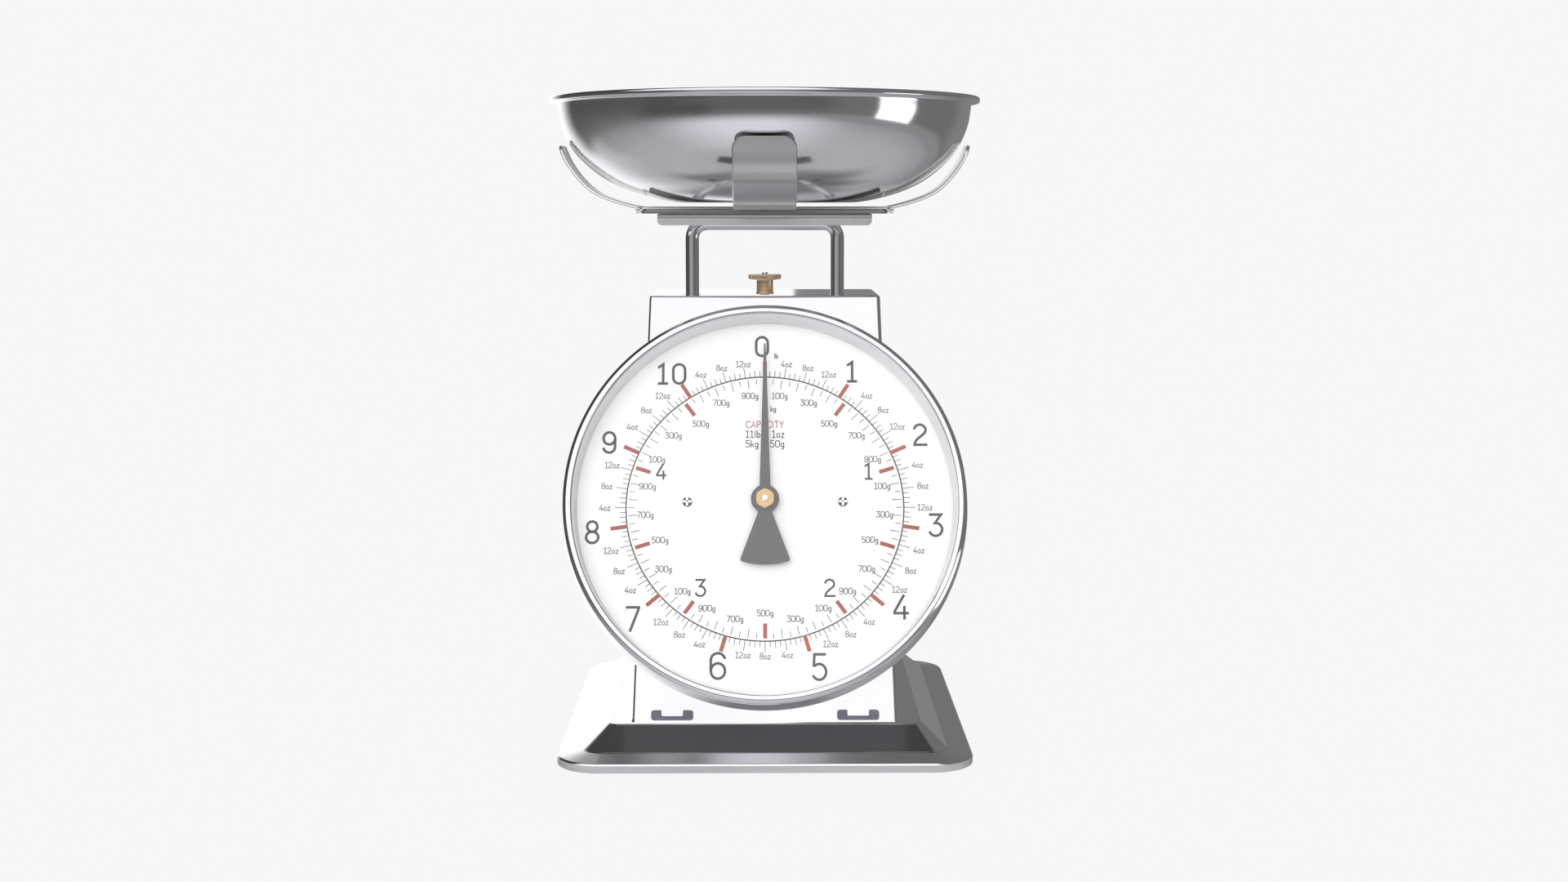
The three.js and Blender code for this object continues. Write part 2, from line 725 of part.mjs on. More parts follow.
// Main springs: closed coils with a loop through the lug above and the lug below
function springPath(x, low, high) {
  const loop = 3.3;
  const coil = 5.6;
  const turns = 9;
  const perTurn = 9;
  const points = [];
  const loopSteps = 10;
  const topCentre = high - loop;
  for (let i = 0; i <= loopSteps; i++) {
    const angle = THREE.MathUtils.degToRad(-60 + (330 * i) / loopSteps);
    points.push([0, loop * Math.cos(angle), topCentre + loop * Math.sin(angle)]);
  }
  const coilHigh = topCentre - loop - 2.6;
  const lowCentre = low + loop;
  const coilLow = lowCentre + loop + 2.6;
  points.push([1.6, 0.4, topCentre - loop - 0.5]);
  points.push([4.2, 0.6, topCentre - loop - 1.4]);
  const count = turns * perTurn;
  for (let i = 0; i <= count; i++) {
    const angle = (2 * Math.PI * i) / perTurn + 0.25;
    const z = coilHigh + ((coilLow - coilHigh) * i) / count;
    points.push([coil * Math.cos(angle), coil * Math.sin(angle), z]);
  }
  points.push([4.2, 2.2, coilLow - 1.2]);
  points.push([1.6, 1.6, lowCentre + loop + 0.5]);
  for (let i = 0; i <= loopSteps; i++) {
    const angle = THREE.MathUtils.degToRad(90 + (330 * i) / loopSteps);
    points.push([0, loop * Math.cos(angle), lowCentre + loop * Math.sin(angle)]);
  }
  return points.map(([px, py, pz]) => new THREE.Vector3(x + px, py, pz));
}
for (const side of [-1, 1]) {
  const name = side < 0 ? "main_spring_left" : "main_spring_right";
  add(name, wire(springPath(side * SPRING_X, 157, 212.4), 0.8, 5), "zinc");
}

// Movement frame: a strip bent into a hat, screwed behind the dial, with the shaft's rear bearing
const ARM_X = 15;
const FRAME_BACK = -65;
const SHEET = 1.5;
const inner = -HOUSING_SHEET - GAP;
const frameOutline = [
  [-48, inner],
  [-48, inner - SHEET],
  [-ARM_X - SHEET, inner - SHEET],
  [-ARM_X - SHEET, FRAME_BACK],
  [ARM_X + SHEET, FRAME_BACK],
  [ARM_X + SHEET, inner - SHEET],
  [48, inner - SHEET],
  [48, inner],
  [ARM_X, inner],
  [ARM_X, FRAME_BACK + SHEET],
  [-ARM_X, FRAME_BACK + SHEET],
  [-ARM_X, inner],
];
const frameStrip = extruded(frameOutline, 20);
frameStrip.rotateX(Math.PI / 2);
let frame = solid(frameStrip.translate(0, AXIS_UP + 10, 0));
frame = frame.subtract(rod(3.3, -80, -50, 0, AXIS_UP, 20));
for (const side of [-1, 1]) {
  frame = frame.subtract(rod(1.5, -10, 10, side * DIAL_SCREW_X, SCREW_UP, 12));
}
add("movement_frame", frame, "zinc", dial);

const frontBush = turned(
  [[SHAFT_BORE, -5], [6.2, -5], [6.2, inner], [4, inner], [4, 0.9], [SHAFT_BORE, 0.9]],
  20,
);
add("front_bush", frontBush.translate([0, AXIS_UP, 0]), "brass", dial);
const rearBush = turned(
  [
    [SHAFT_BORE, FRAME_BACK - 1.5],
    [3, FRAME_BACK - 1.5],
    [3, FRAME_BACK + SHEET + GAP],
    [5, FRAME_BACK + SHEET + GAP],
    [5, FRAME_BACK + SHEET + 2],
    [SHAFT_BORE, FRAME_BACK + SHEET + 2],
  ],
  24,
);
add("rear_bush", rearBush.translate([0, AXIS_UP, 0]), "brass", dial);

// Dial: drum, dial plate, spacer ring, lens and bezel
const drumSheet = 1.2;
const drumRim = 19;
const drumFrontRadius = 103;
let drum = turned(
  [
    [46, GAP],
    [DRUM_BACK_RADIUS - 0.8, GAP],
    [DRUM_BACK_RADIUS, GAP + 0.8],
    [drumFrontRadius, drumRim],
    [drumFrontRadius - drumSheet, drumRim],
    [DRUM_BACK_RADIUS - drumSheet, GAP + drumSheet],
    [46, GAP + drumSheet],
  ],
  52,
);
add("dial_drum", drum, "polished", dial);

const plateBack = GAP + drumSheet + GAP;
const dialFace = plateBack + 0.8;
let dialPlate = rod(DIAL_RADIUS, plateBack, dialFace, 0, 0, 52);
dialPlate = dialPlate.subtract(rod(5, 0, 10, 0, AXIS_UP, 20));
for (const side of [-1, 1]) {
  dialPlate = dialPlate.subtract(rod(1.9, 0, 10, side * DIAL_SCREW_X, SCREW_UP, 12));
}
add("dial_plate", dialPlate, "white", dial);

const lensBack = 18.3;
const lensFront = 19.9;
add("spacer_ring", ring(99, 100.4, plateBack, lensBack - GAP, 52), "polished", dial);
add("dial_lens", rod(100.6, lensBack, lensFront, 0, 0, 52), "clear", dial);
const bezel = turned(
  [
    [99.8, lensFront + GAP],
    [101.3, lensFront + GAP],
    [101.3, drumRim + GAP],
    [103.3, drumRim + GAP],
    [103.5, 17.2],
    [104.4, 17.2],
    [104.1, 20.6],
    [103.4, 21.7],
    [102.3, DRUM_DEPTH],
    [100.2, DRUM_DEPTH],
    [99.8, DRUM_DEPTH - 0.4],
  ],
  52,
);
add("bezel_ring", bezel, "polished", dial);

for (const side of [-1, 1]) {
  const word = side < 0 ? "left" : "right";
  const seat = dialFace + GAP;
  let screw = turned(
    [
      [0, -6],
      [1.2, -6],
      [1.2, seat],
      [2.5, seat],
      [2.3, seat + 0.9],
      [1.4, seat + 1.4],
      [0, seat + 1.5],
    ],
    20,
  );
  screw = screw.subtract(box(-1.6, 1.6, -0.3, 0.3, seat + 0.8, seat + 3));
  screw = screw.subtract(box(-0.3, 0.3, -1.6, 1.6, seat + 0.8, seat + 3));
  add("dial_screw_" + word, screw.translate([side * DIAL_SCREW_X, SCREW_UP, 0]), "zinc", dial);
}

// Pointer and its nut
const POINTER_Z = 6.8;
const pointerTop = POINTER_Z + 0.9;
const pointerOutline = [];
const hub = 7.2;
pointerOutline.push([-0.35, 83.4]);
pointerOutline.push([0.35, 83.4]);
pointerOutline.push([2.4, 6.8]);
for (const degrees of [45, 15, -15, -40]) {
  const angle = THREE.MathUtils.degToRad(degrees);
  pointerOutline.push([hub * Math.cos(angle), hub * Math.sin(angle)]);
}
pointerOutline.push([3.8, -6.1]);
pointerOutline.push([13, -32.4]);
pointerOutline.push([8, -33.8]);
pointerOutline.push([0, -34.4]);
pointerOutline.push([-8, -33.8]);
pointerOutline.push([-13, -32.4]);
pointerOutline.push([-3.8, -6.1]);
for (const degrees of [-140, -165, 165, 135]) {
  const angle = THREE.MathUtils.degToRad(degrees);
  pointerOutline.push([hub * Math.cos(angle), hub * Math.sin(angle)]);
}
pointerOutline.push([-2.4, 6.8]);
pointerOutline.reverse();
let pointer = solid(extruded(pointerOutline, pointerTop - POINTER_Z)).translate([0, 0, POINTER_Z]);
pointer = pointer.add(rod(3, POINTER_Z - 2.2, POINTER_Z + 0.3));
pointer = pointer.subtract(rod(SHAFT_RADIUS + 0.1, 0, 20));
add("pointer", pointer.translate([0, AXIS_UP, 0]), "black", dial);
const NUT_HEIGHT = 2.6;
const hexagon = new THREE.CylinderGeometry(5, 5, NUT_HEIGHT, 6);
const hexNut = solid(hexagon.rotateX(Math.PI / 2).rotateZ(Math.PI / 6));
const nutAt = pointerTop + GAP + NUT_HEIGHT / 2;
let pointerNut = hexNut.translate([0, AXIS_UP, nutAt]);
pointerNut = pointerNut.subtract(rod(SHAFT_RADIUS + 0.2, 0, 20, 0, AXIS_UP));
add("pointer_nut", pointerNut, "brass", dial);

export default root;
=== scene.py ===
"""Dial kitchen scale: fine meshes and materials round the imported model."""
import bpy
import bmesh
import json
import math
from mathutils import Matrix, Vector

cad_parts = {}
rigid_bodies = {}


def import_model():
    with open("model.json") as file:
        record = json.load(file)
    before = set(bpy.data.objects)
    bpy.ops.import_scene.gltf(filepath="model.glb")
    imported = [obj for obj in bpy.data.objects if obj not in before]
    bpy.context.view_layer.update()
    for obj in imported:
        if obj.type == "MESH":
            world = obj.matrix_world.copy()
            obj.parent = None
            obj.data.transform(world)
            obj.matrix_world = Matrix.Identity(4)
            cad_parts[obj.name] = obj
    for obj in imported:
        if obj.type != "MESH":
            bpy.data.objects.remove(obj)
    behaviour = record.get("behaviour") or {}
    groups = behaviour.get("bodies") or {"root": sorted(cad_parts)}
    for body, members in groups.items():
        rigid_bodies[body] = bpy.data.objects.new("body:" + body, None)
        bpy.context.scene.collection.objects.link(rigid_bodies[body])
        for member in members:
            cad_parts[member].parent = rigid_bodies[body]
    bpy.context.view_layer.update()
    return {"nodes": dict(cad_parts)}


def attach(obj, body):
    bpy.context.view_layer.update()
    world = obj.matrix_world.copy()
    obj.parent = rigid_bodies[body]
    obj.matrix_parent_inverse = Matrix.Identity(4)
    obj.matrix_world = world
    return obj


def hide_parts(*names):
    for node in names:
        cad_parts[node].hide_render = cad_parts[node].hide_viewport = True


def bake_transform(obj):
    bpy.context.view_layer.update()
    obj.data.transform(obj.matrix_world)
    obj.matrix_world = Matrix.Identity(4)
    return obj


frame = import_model()

MM = 0.001
LEAN = math.radians(18)
FRONT_LOW, HOUSING_LOW = -84.4, 18.3
DIAL_Z, AXIS_UP, SCREW_UP = 124.8, 3.3, 2.4
DIAL_Y = FRONT_LOW + (DIAL_Z - HOUSING_LOW) * math.tan(LEAN)
DIAL = Matrix.Translation((0, DIAL_Y, DIAL_Z)) @ Matrix.Rotation(math.pi / 2 - LEAN, 4, "X")
DIAL_FACE = 2.6
WIDE, TALL, PRINT_UP = 1.018, 0.98, -0.6

# ---------------------------------------------------------------- node helpers


class Nodes:
    """Short names for building a node tree."""

    def __init__(self, tree):
        self.tree = tree

    def add(self, kind, inputs=None, **settings):
        node = self.tree.nodes.new(kind)
        for key, value in settings.items():
            setattr(node, key, value)
        for key, value in (inputs or {}).items():
            if isinstance(value, bpy.types.NodeSocket):
                self.tree.links.new(value, node.inputs[key])
            else:
                node.inputs[key].default_value = value
        return node

    def maths(self, operation, a, b=0.0, c=0.0):
        return self.add("ShaderNodeMath", {0: a, 1: b, 2: c}, operation=operation).outputs[0]

    def span(self, value, low, high, to_low=0.0, to_high=1.0, smooth=False):
        node = self.add("ShaderNodeMapRange", {0: value, 1: low, 2: high, 3: to_low, 4: to_high})
        node.interpolation_type = "SMOOTHSTEP" if smooth else "LINEAR"
        return node.outputs[0]

    def mix(self, factor, a, b):
        node = self.tree.nodes.new("ShaderNodeMix")
        node.data_type = "RGBA"
        for index, value in ((0, factor), (6, a), (7, b)):
            if isinstance(value, bpy.types.NodeSocket):
                self.tree.links.new(value, node.inputs[index])
            elif index and len(value) == 3:
                node.inputs[index].default_value = (*value, 1)
            else:
                node.inputs[index].default_value = value
        return node.outputs[2]

    def ramp(self, value, stops, mode="LINEAR"):
        node = self.add("ShaderNodeValToRGB", {0: value})
        ramp = node.color_ramp
        ramp.interpolation = mode
        while len(ramp.elements) < len(stops):
            ramp.elements.new(0.5)
        for element, (at, colour) in zip(ramp.elements, stops):
            element.position = at
            element.color = (*colour, 1) if isinstance(colour, tuple) else (colour, colour, colour, 1)
        return node.outputs[0]


def material(name):
    made = bpy.data.materials.new(name)
    made.use_nodes = True
    tree = made.node_tree
    tree.nodes.clear()
    n = Nodes(tree)
    n.shader = n.add("ShaderNodeBsdfPrincipled")
    out = n.add("ShaderNodeOutputMaterial")
    tree.links.new(n.shader.outputs[0], out.inputs["Surface"])
    n.material = made
    n.place = n.add("ShaderNodeTexCoord").outputs["Object"]
    return n


def link(n, value, socket):
    n.tree.links.new(value, n.shader.inputs[socket])


def metal(name, dark, light, rough, grain=(1, 1, 1), grain_scale=900, bump=0.02, wear=0.04, mirror=1.0,
          painted_shade=None):
    """Metal with a fine directional grain, cloudy roughness and a little handling wear.

    painted_shade, if given, is (low, high, share): painted shade darkens the metal to that share of its tone,
    fading in between two heights.
    """
    n = material(name)
    n.shader.inputs["Metallic"].default_value = mirror
    stretched = n.add("ShaderNodeMapping", {"Vector": n.place, "Scale": grain}).outputs[0]
    fine = n.add("ShaderNodeTexNoise", {"Vector": stretched, "Scale": grain_scale, "Detail": 3.0})
    cloud = n.add("ShaderNodeTexNoise", {"Vector": n.place, "Scale": 22.0, "Detail": 4.0})
    tone = n.maths(
        "ADD",
        n.maths("MULTIPLY", fine.outputs[0], 0.6),
        n.maths("MULTIPLY", cloud.outputs[0], 0.4),
    )
    colour = n.mix(n.span(tone, 0.3, 0.7), dark, light)
    if painted_shade:
        height = n.add("ShaderNodeSeparateXYZ", {0: n.place}).outputs[2]
        shade_share = n.span(height, painted_shade[0], painted_shade[1], 0.0, 1.0, smooth=True)
        colour = n.mix(shade_share, colour, tuple(c * painted_shade[2] for c in light))
    link(n, colour, "Base Color")
    spread = n.span(fine.outputs[0], 0.3, 0.7, rough - wear * 0.5, rough + wear * 0.5)
    link(n, n.maths("ADD", spread, n.span(cloud.outputs[0], 0.45, 0.8, 0.0, wear)), "Roughness")
    if bump:
        height = n.add("ShaderNodeBump", {"Height": fine.outputs[0], "Strength": bump, "Distance": 0.0002})
        link(n, height.outputs[0], "Normal")
    return n.material


def paint(name, dark, light, rough, scale=400, bump=0.05, coat=0.0):
    n = material(name)
    speckle = n.add("ShaderNodeTexNoise", {"Vector": n.place, "Scale": float(scale), "Detail": 4.0})
    cloud = n.add("ShaderNodeTexNoise", {"Vector": n.place, "Scale": 14.0, "Detail": 3.0})
    link(n, n.mix(n.span(cloud.outputs[0], 0.35, 0.7), dark, light), "Base Color")
    link(n, n.span(speckle.outputs[0], 0.3, 0.7, rough - 0.05, rough + 0.05), "Roughness")
    height = n.add("ShaderNodeBump", {"Height": speckle.outputs[0], "Strength": bump, "Distance": 0.0002})
    link(n, height.outputs[0], "Normal")
    n.shader.inputs["Coat Weight"].default_value = coat
    return n.material


def grey(tone, blue=None):
    """A grey, with its own blue where one is given."""
    return (tone, tone, tone if blue is None else blue)


STEEL_DARK, STEEL_LIGHT = grey(0.80, 0.82), grey(0.90, 0.91)
M = {
    "bowl": metal("bowl_polished", grey(0.80, 0.82), grey(0.90, 0.92), 0.10, (1, 1, 8), 500, 0.004, 0.03),
    "housing": metal("housing_polished", STEEL_DARK, STEEL_LIGHT, 0.09, (1, 1, 12), 600, 0.003, 0.03),
    "base": metal("base_polished", grey(0.84, 0.86), STEEL_LIGHT, 0.10, (8, 1, 1), 500, 0.003, 0.03),
    "cover": metal("cover_brushed", grey(0.66, 0.67), grey(0.78, 0.79), 0.3, (30, 30, 1), 60, 0.06, 0.05),
    "brush_x": metal("strap_brushed_x", grey(0.74), grey(0.90, 0.89), 0.22, (0.5, 12, 12), 40,
                     0.01, 0.03, 0.78),
    "brush_y": metal("strap_brushed_y", grey(0.76, 0.75), grey(0.90, 0.89), 0.30, (12, 0.5, 12), 40,
                     0.01, 0.03),
    # a lighter copy of the strap steel for the side strap: painted light for its brighter arms
    "strap_painted_light": metal("strap_satin_painted_light", grey(0.84, 0.83), grey(0.90, 0.89), 0.28, (6, 0.3, 6), 40, 0.0, 0.01),
    # the front strap darkens above 0.30 m, where its arms rise close under the bowl: painted shade
    "strap_front": metal("strap_brushed", grey(0.72, 0.71), grey(0.88, 0.87), 0.30, (0.4, 14, 14), 40,
                         0.01, 0.03, 1.0, (0.3000, 0.3050, 0.52)),
    "plate_dark": metal("plate_satin", grey(0.30), grey(0.42), 0.3, (0.5, 12, 12), 40, 0.01, 0.03),
    # edge: a duller, mostly diffuse grey copy of the steel for the base rim's low band, a painted reflection
    "edge": metal("edge_satin", grey(0.44, 0.46), grey(0.56, 0.58), 0.5, (0.5, 0.5, 8), 60, 0.01, 0.03, 0.25),
    # near-white and mostly diffuse: a painted highlight for edges that read as bright lines
    "painted_highlight": metal("edge_painted_highlight", grey(0.90), grey(0.95), 0.4, (1, 1, 1), 30, 0.0, 0.03, 0.12),
    "dark_zinc": metal("screw_dark", grey(0.10), grey(0.16), 0.35, (1, 1, 1), 500, 0.03, 0.04),
    # dark blue-grey for the sheets behind the slots: painted shade
    "slot_tab": metal("slot_shade_blue_grey", grey(0.16, 0.20), grey(0.26, 0.31), 0.42, (1, 6, 6), 60, 0.03, 0.04),
    "satin": paint("ring_satin", grey(0.86, 0.88), grey(0.93, 0.95), 0.35, 300, 0.01, 0.0),
    "rod": metal("rod_polished", (0.70, 0.71, 0.73), (0.84, 0.85, 0.86), 0.09, (12, 12, 1), 300, 0.005, 0.03),
    "ring": metal("ring_bright", grey(0.82, 0.85), grey(0.91, 0.93), 0.07, (1, 1, 1), 700, 0.003, 0.02),
    "zinc": metal("zinc_plate", (0.50, 0.51, 0.53), (0.68, 0.69, 0.71), 0.32, (1, 1, 1), 500, 0.05, 0.1),
    "bronze": metal("bronze_turned", (0.50, 0.33, 0.20), (0.86, 0.62, 0.42), 0.24, (1, 1, 30), 160,
                    0.05, 0.08, 0.65),
    "brass": metal("brass_satin", (0.62, 0.40, 0.15), (0.80, 0.56, 0.25), 0.28, (1, 1, 1), 260, 0.05, 0.08),
    "nut": metal("brass_nut", (0.80, 0.50, 0.24), (0.92, 0.64, 0.35), 0.4, (1, 1, 1), 260, 0.04, 0.06),
    "spring": metal("spring_wire", (0.34, 0.35, 0.37), (0.5, 0.51, 0.53), 0.28, (1, 1, 1), 700, 0.03, 0.06),
    "enamel": paint("dial_enamel", (0.90, 0.895, 0.885), grey(0.93), 0.4, 500, 0.01, 0.0),
    "pointer": paint("pointer_paint", grey(0.085, 0.088), grey(0.105, 0.108), 0.5, 900, 0.04, 0.0),
    "black_ink": paint("ink_black", (0.035, 0.036, 0.04), grey(0.07, 0.075), 0.5, 900, 0.0),
    "grey_ink": paint("ink_grey", (0.13, 0.125, 0.12), (0.20, 0.195, 0.185), 0.5, 900, 0.0),
    "red_ink": paint("ink_red", (0.30, 0.055, 0.042), (0.43, 0.095, 0.07), 0.5, 900, 0.0),
    "rubber": paint("rubber_foot", grey(0.015, 0.016), grey(0.03, 0.032), 0.85, 700, 0.2),
    "nylon": paint("nylon_bush", grey(0.66, 0.62), grey(0.76, 0.72), 0.45, 700, 0.05),
}


def clear_glass():
    n = material("lens_clear")
    cloud = n.add("ShaderNodeTexNoise", {"Vector": n.place, "Scale": 30.0, "Detail": 3.0})
    link(n, n.mix(cloud.outputs[0], (0.97, 0.98, 0.98), (1, 1, 1)), "Base Color")
    link(n, n.span(cloud.outputs[0], 0.3, 0.7, 0.01, 0.03), "Roughness")
    n.shader.inputs["Alpha"].default_value = 0.04
    n.shader.inputs["Specular IOR Level"].default_value = 0.25
    return n.material


M["lens"] = clear_glass()

# ---------------------------------------------------------------- mesh helpers


def rounded(points, closed=False, steps=5):
    """Points are tuples whose last number is the corner's radius; corners become short curves."""
    out = []
    count = len(points)
    for i, point in enumerate(points):
        p, radius = Vector(point[:-1]), point[-1]
        if radius <= 0 or (not closed and i in (0, count - 1)):
            out.append(tuple(p))
            continue
        a, b = Vector(points[i - 1][:-1]), Vector(points[(i + 1) % count][:-1])
        reach_a = min(radius, (a - p).length * 0.49)
        reach_b = min(radius, (b - p).length * 0.49)
        start = p + (a - p).normalized() * reach_a
        end = p + (b - p).normalized() * reach_b
        for k in range(steps + 1):
            t = k / steps
            out.append(tuple(start * (1 - t) ** 2 + p * 2 * t * (1 - t) + end * t * t))
    return out


def piece(name, verts, faces, look, body, slot, replaced=(), matrix=None, sharp=35, weighted=True):
    mesh = bpy.data.meshes.new(name)
    place = Matrix.Scale(MM, 4) @ (matrix or Matrix.Identity(4))
    mesh.from_pydata([place @ Vector(v) for v in verts], [], faces)
    return finish_piece(name, mesh, look, body, replaced, sharp, weighted)


def finish_piece(name, mesh, look, body, replaced=(), sharp=35, weighted=True):
    made = bmesh.new()
    made.from_mesh(mesh)
    bmesh.ops.remove_doubles(made, verts=made.verts, dist=1e-7)
    bmesh.ops.recalc_face_normals(made, faces=made.faces)
    for edge in made.edges:
        edge.smooth = len(edge.link_faces) == 2 and edge.calc_face_angle(0) < math.radians(sharp)
    for face in made.faces:
        face.smooth = True
    made.to_mesh(mesh)
    made.free()
    mesh.materials.clear()
    mesh.materials.append(M[look])
    obj = bpy.data.objects.new(name, mesh)
    bpy.context.scene.collection.objects.link(obj)
    if weighted:
        keep = obj.modifiers.new("weighted", "WEIGHTED_NORMAL")
        keep.keep_sharp = True
        keep.weight = 90
    if body:
        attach(obj, body)
    if replaced:
        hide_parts(*replaced)
    return obj


def second_look(obj, look, chosen):
    """Gives the faces picked by chosen(centre in mm, normal) another finish."""
    obj.data.materials.append(M[look])
    for face in obj.data.polygons:
        if chosen(face.center / MM, face.normal):
            face.material_index = 1


def lathe(outline, segments=96, centre=(0, 0)):
    """Body of revolution about Z from (radius, z) points; ends on the axis or closes on itself."""
    verts, faces, rings = [], [], []
    for r, z in outline:
        if r < 1e-6:
            rings.append([len(verts)])
            verts.append((centre[0], centre[1], z))
            continue
        rings.append(list(range(len(verts), len(verts) + segments)))
        for k in range(segments):
            angle = 2 * math.pi * k / segments
            verts.append((centre[0] + r * math.cos(angle), centre[1] + r * math.sin(angle), z))
    pairs = list(zip(rings, rings[1:]))
    if len(rings[0]) > 1 and len(rings[-1]) > 1:
        pairs.append((rings[-1], rings[0]))
    for a, b in pairs:
        for k in range(segments):
            j = (k + 1) % segments
            face = [a[k % len(a)], a[j % len(a)], b[j % len(b)], b[k % len(b)]]
            face = list(dict.fromkeys(face))
            if len(face) > 2:
                faces.append(face)
    return verts, faces


def loft(rings, corner=8):
    """Stack of rounded rectangles (half x, half y, corner radius, y shift, z), capped at both ends."""
    verts, faces, loops = [], [], []
    for hx, hy, radius, shift, z in rings:
        loop = []
        for sx, sy, start in ((1, 1, 0), (-1, 1, 90), (-1, -1, 180), (1, -1, 270)):
            for i in range(corner + 1):
                a = math.radians(start + 90 * i / corner)
                loop.append(len(verts))
                x = sx * (hx - radius) + radius * math.cos(a)
                y = sy * (hy - radius) + radius * math.sin(a)
                verts.append((x, y + shift, z))
        loops.append(loop)
    for a, b in zip(loops, loops[1:]):
        for k in range(len(a)):
            j = (k + 1) % len(a)
            faces.append([a[k], a[j], b[j], b[k]])
    faces.append(loops[0][::-1])
    faces.append(loops[-1])
    return verts, faces


def prism(outline, low, high, turn=None):
    """Flat outline of (x, y) points carried from z = low to z = high."""
    count = len(outline)
    verts = [(x, y, low) for x, y in outline] + [(x, y, high) for x, y in outline]
    faces = [list(range(count))[::-1], list(range(count, 2 * count))]
    for k in range(count):
        j = (k + 1) % count
        faces.append([k, j, count + j, count + k])
    if turn:
        verts = [tuple(turn @ Vector(v)) for v in verts]
    return verts, faces


def tube(points, radius, sides=24, closed_ends=True):
    """Round wire along a list of points."""
    path = [Vector(p) for p in points]
    verts, faces = [], []
    tangent = (path[1] - path[0]).normalized()
    side = tangent.orthogonal().normalized()
    for i, p in enumerate(path):
        ahead = path[min(i + 1, len(path) - 1)] - path[max(i - 1, 0)]
        new = ahead.normalized()
        side = (tangent.rotation_difference(new) @ side).normalized()
        tangent = new
        up = tangent.cross(side)
        for k in range(sides):
            a = 2 * math.pi * k / sides
            verts.append(tuple(p + side * radius * math.cos(a) + up * radius * math.sin(a)))
    for i in range(len(path) - 1):
        for k in range(sides):
            j = (k + 1) % sides
            a, b = i * sides, (i + 1) * sides
            faces.append([a + k, a + j, b + j, b + k])
    if closed_ends:
        faces.append(list(range(sides))[::-1])
        faces.append(list(range(len(verts) - sides, len(verts))))
    return verts, faces


def carve(verts, faces, cutters, matrix=None, bevel=0.0, extra=()):
    """Mesh of a solid less its cutters, plus extras, with its sharp edges eased."""
    def temp(v, f, m=None):
        mesh = bpy.data.meshes.new("temp")
        place = Matrix.Scale(MM, 4) @ (m or Matrix.Identity(4))
        mesh.from_pydata([place @ Vector(p) for p in v], [], f)
        work = bmesh.new()
        work.from_mesh(mesh)
        bmesh.ops.recalc_face_normals(work, faces=work.faces)
        work.to_mesh(mesh)
        work.free()
        obj = bpy.data.objects.new("temp", mesh)
        bpy.context.scene.collection.objects.link(obj)
        return obj
    main = temp(verts, faces, matrix)
    used = []
    for kind, items in (("DIFFERENCE", cutters), ("UNION", extra)):
        for v, f, m in items:
            tool = temp(v, f, m)
            used.append(tool)
            step = main.modifiers.new("cut", "BOOLEAN")
            step.operation, step.solver, step.object = kind, "EXACT", tool
    if bevel:
        ease = main.modifiers.new("ease", "BEVEL")
        ease.width, ease.segments, ease.limit_method = bevel * MM, 2, "ANGLE"
        ease.angle_limit = math.radians(40)
        ease.use_clamp_overlap = True
    bpy.context.view_layer.update()
    mesh = bpy.data.meshes.new_from_object(main.evaluated_get(bpy.context.evaluated_depsgraph_get()))
    for obj in [main, *used]:
        data = obj.data
        bpy.data.objects.remove(obj)
        bpy.data.meshes.remove(data)
    return mesh


def cylinder(radius, low, high, x=0.0, y=0.0, sides=48):
    return lathe([(0, low), (radius, low), (radius, high), (0, high)], sides, (x, y))


# ---------------------------------------------------------------- base
def base_piece():
    lift, sheet = 0.3, 1.1
    outer = [
        (79.6, 85.9, 4, 0, 18.0, 0),
        (80.4, 86.7, 4.5, 0, 18.0, 1.2),
        (93.2, 101.4, 10, 0, 6.7, 1.0),
        (105.2, 114.2, 21, 0, 4.8, 0.5),
        (106.0, 115.0, 22, 0, 3.9, 0.5),
        (106.0, 115.0, 22, 0, lift, 0.25),
    ]
    inner = [
        (106 - sheet, 115 - sheet, 21, 0, lift, 0.2),
        (106 - sheet, 115 - sheet, 21, 0, 3.2, 0.6),
        (92.8, 101, 9.5, 0, 5.5, 2.5),
        (79.6, 85.9, 3.5, 0, 16.8, 1.0),
        (77, 83, 3, 0, 16.8, 0),
    ]
    verts, faces = loft(rounded(outer + inner, steps=6), 14)
    obj = piece("base_pan", verts, faces, "base", "stand", "base_steel", ["base"])
    # the rim's low band takes the grey 'edge' copy: a painted reflection in place of the polished steel's own
    second_look(obj, "edge", lambda at, normal: at.z < 4.0 and abs(normal.z) < 0.3)


base_piece()


# ---------------------------------------------------------------- housing
BACK, TOP = 67.5, 234.0


def housing_ring(z, inset, trim=0.0, corner=3.0, out=0.0):
    share = (z - HOUSING_LOW) / (TOP - HOUSING_LOW)
    front = FRONT_LOW + (z - HOUSING_LOW) * math.tan(LEAN) + inset / math.cos(LEAN)
    back = BACK - inset
    hx = 68.5 - 6.6 * share - inset
    return (hx - trim + out, (back - front) / 2 - trim + out, corner, (front + back) / 2, z)


def slot_cutter(x):
    half, low, high, tongue, tip = 10.9, 0.9, 6.3, 5.5, 3.2
    outline = [
        (x - half, low, 1.8), (x + half, low, 1.8), (x + half, high, 1.8), (x + tongue, high, 0.7),
        (x + tongue, tip, 0.8), (x - tongue, tip, 0.8), (x - tongue, high, 0.7), (x - half, high, 1.8),
    ]
    turn = Matrix.Translation((0, FRONT_LOW, HOUSING_LOW)) @ Matrix.Rotation(math.pi / 2 - LEAN, 4, "X")
    verts, faces = prism(rounded(outline, True, 4), -6, 8, turn)
    return verts, faces, None


